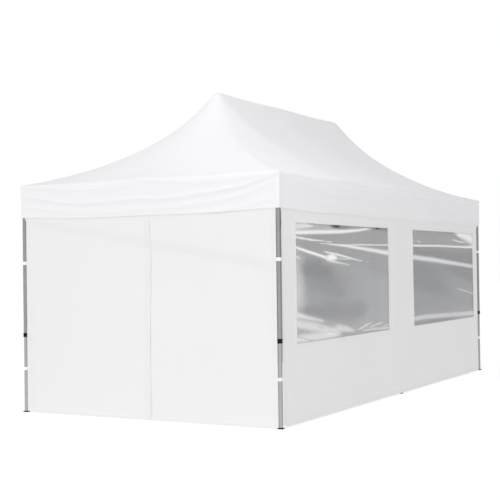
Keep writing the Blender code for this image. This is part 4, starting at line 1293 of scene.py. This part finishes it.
def bolts_at_points(add, given):
    """A bolt across the bars, with a domed head and a nut, at every point."""
    radius, height, span = (given[name] for name in ("Head Radius", "Head Height", "Span"))
    up, down = (
        add("ShaderNodeCombineXYZ", {"Z": add("ShaderNodeMath", {0: span, 1: share}, operation="MULTIPLY")})
        for share in (0.5, -0.5)
    )
    dome = add("GeometryNodeMeshUVSphere", {"Segments": 12, "Rings": 6, "Radius": 1.0})
    flat = add("ShaderNodeCombineXYZ", {"X": radius, "Y": radius, "Z": height})
    head = add("GeometryNodeTransform", {"Geometry": dome, "Scale": flat, "Translation": up})
    hexagon = add("GeometryNodeMeshCylinder", {"Vertices": 6, "Radius": radius, "Depth": height})
    nut = add("GeometryNodeTransform", {"Geometry": hexagon, "Translation": down})
    rod = {"Vertices": 10, "Radius": given["Shank Radius"], "Depth": span}
    shank = add("GeometryNodeMeshCylinder", rod)
    bolt = add("GeometryNodeJoinGeometry")
    for part in (head, nut, shank):
        bolt.id_data.links.new(part.outputs[0], bolt.inputs[0])
    across = add("FunctionNodeEulerToRotation", {"Euler": (math.pi / 2, 0.0, 0.0)})
    placing = {"Points": given["Points"], "Instance": bolt, "Rotation": across}
    return add("GeometryNodeInstanceOnPoints", placing)


def zinc_plated_steel(add, place):
    """Zinc-plated steel: a cool, slightly blotchy grey shine that goes dull where it's handled."""
    spangle = add("ShaderNodeTexNoise", {"Vector": place, "Scale": 240.0, "Detail": 3.0})
    tone = add("ShaderNodeMixRGB", {"Fac": spangle, "Color1": linear("#8E9194"), "Color2": linear("#AEB0B0")})
    dull = add("ShaderNodeMapRange", {"Value": spangle, "To Min": 0.28, "To Max": 0.5})
    return add("ShaderNodeBsdfPrincipled", {"Base Color": tone, "Metallic": 1.0, "Roughness": dull})


def fit_lattice(name, node, crossed, fittings, turn=0.0, at=(0.0, 0.0, 0.0)):
    """One part of the lattice, drawn along X: its crossed bars with their bolts, and its nylon fittings."""
    bars, bolts = crossed
    fit_piece(f"{name}_bars", bars, bar_metal, node, at=at, turn=turn)
    if fittings:
        fit_piece(f"{name}_fittings", fittings, black_nylon, at=at, turn=turn)
    points = bpy.data.meshes.new("points")
    points.from_pydata(bolts, [], [])
    fit_piece(f"{name}_bolts", [grown(bolt_tree, points, steel)], steel, at=at, turn=turn)


bar_metal = finish("anodised aluminium bar", "lattice_bar", anodised_aluminium, "#C3C5C6", "#B6B8B9")
steel = finish("zinc-plated steel", "lattice_bar", zinc_plated_steel)
bolt_sizes = {"Head Radius": 0.0060, "Head Height": 0.0030, "Span": 0.0270, "Shank Radius": 0.0032}
bolt_tree = grower("bolts", "Points", bolt_sizes, bolts_at_points)
beside_connector = CONNECTOR_WIDTH / 2 - BAR_IN_FORK
spans = [
    (-leg_x + lug_tip - BAR_IN_FORK, -RIDGE_HALF - beside_connector),
    (-RIDGE_HALF + beside_connector, -lug_tip + BAR_IN_FORK),
]
spans += [(-b, -a) for a, b in reversed(spans)]
connectors = forked_pair(
    connector_core, CONNECTOR_SKIRT, CONNECTOR_CORE / 2 - 0.002, CONNECTOR_WIDTH / 2,
    CONNECTOR_HEIGHT - 0.006, 0.0, math.pi,
)
long_fittings = [joined([connectors], (x, 0.0, 0.0)) for x in (-RIDGE_HALF, RIDGE_HALF)]
long_fittings += [
    leg_fittings((-leg_x, 0.0, 0.0), 0.0, math.pi / 2),
    leg_fittings((leg_x, 0.0, 0.0), math.pi, math.pi / 2),
    leg_fittings((0.0, MIDDLE_LEG_INSET - LEG_INSET, 0.0), 0.0, math.pi),
]
for side, turn, y in (("front", 0.0, -leg_y), ("back", math.pi, leg_y)):
    fit_lattice(f"lattice_{side}", f"{side}_lattice", scissors(*spans), long_fittings, turn, (0.0, y, 0.0))
short_end = leg_y - lug_tip - CLEAR
for end, turn, _ in ENDS:
    crossed = scissors((-short_end, -beside_connector), (beside_connector, short_end))
    at = (math.copysign(leg_x, turn), 0.0, 0.0)
    fit_lattice(f"lattice_{end}", f"{end}_lattice", crossed, [connectors], turn, at)

# Lattice under the roof
# Three lines of scissors across the tent and one along the ridge. Where they cross, black nylon hubs
# carry the ridge posts, an upper hub that is fixed and a lower one that slides.

HUB_WIDTH, HUB_CORE, HUB_SKIRT, BAR_IN_HUB = 0.066, 0.050, 0.044, 0.008

hubs = forked_pair(
    partial(moulded_sleeve, HUB_CORE, POLE_WIDTH + 0.001), HUB_SKIRT, HUB_CORE / 2 - 0.003, HUB_WIDTH / 2,
    CONNECTOR_HEIGHT - 0.008, 0.0, math.pi / 2, math.pi, -math.pi / 2,
)
to_connector, to_leg = CONNECTOR_DEPTH / 2 + CLEAR, SLIDER_WIDTH / 2 + CLEAR
for where, x, end in (
    ("left", -RIDGE_HALF, leg_y - to_connector), ("middle", 0.0, HALF_WIDTH - MIDDLE_LEG_INSET - to_leg),
    ("right", RIDGE_HALF, leg_y - to_connector),
):
    start = HUB_WIDTH / 2 - BAR_IN_HUB
    crossed = scissors((-end, -start), (start, end))
    at = (x, 0.0, 0.0)
    fit_lattice(f"lattice_across_{where}", f"cross_lattice_{where}", crossed, [hubs], math.pi / 2, at)
beside_hub = HUB_WIDTH / 2 + CLEAR
inner_span = (beside_hub, RIDGE_HALF - beside_hub)
outer_span = (RIDGE_HALF + beside_hub, leg_x - to_connector)
for where, span, turn in (
    ("right_end", outer_span, 0.0), ("right", inner_span, 0.0), ("left", inner_span, math.pi),
    ("left_end", outer_span, math.pi),
):
    fit_lattice(f"lattice_along_{where}", f"ridge_scissor_{where}", scissors(span), [], turn)
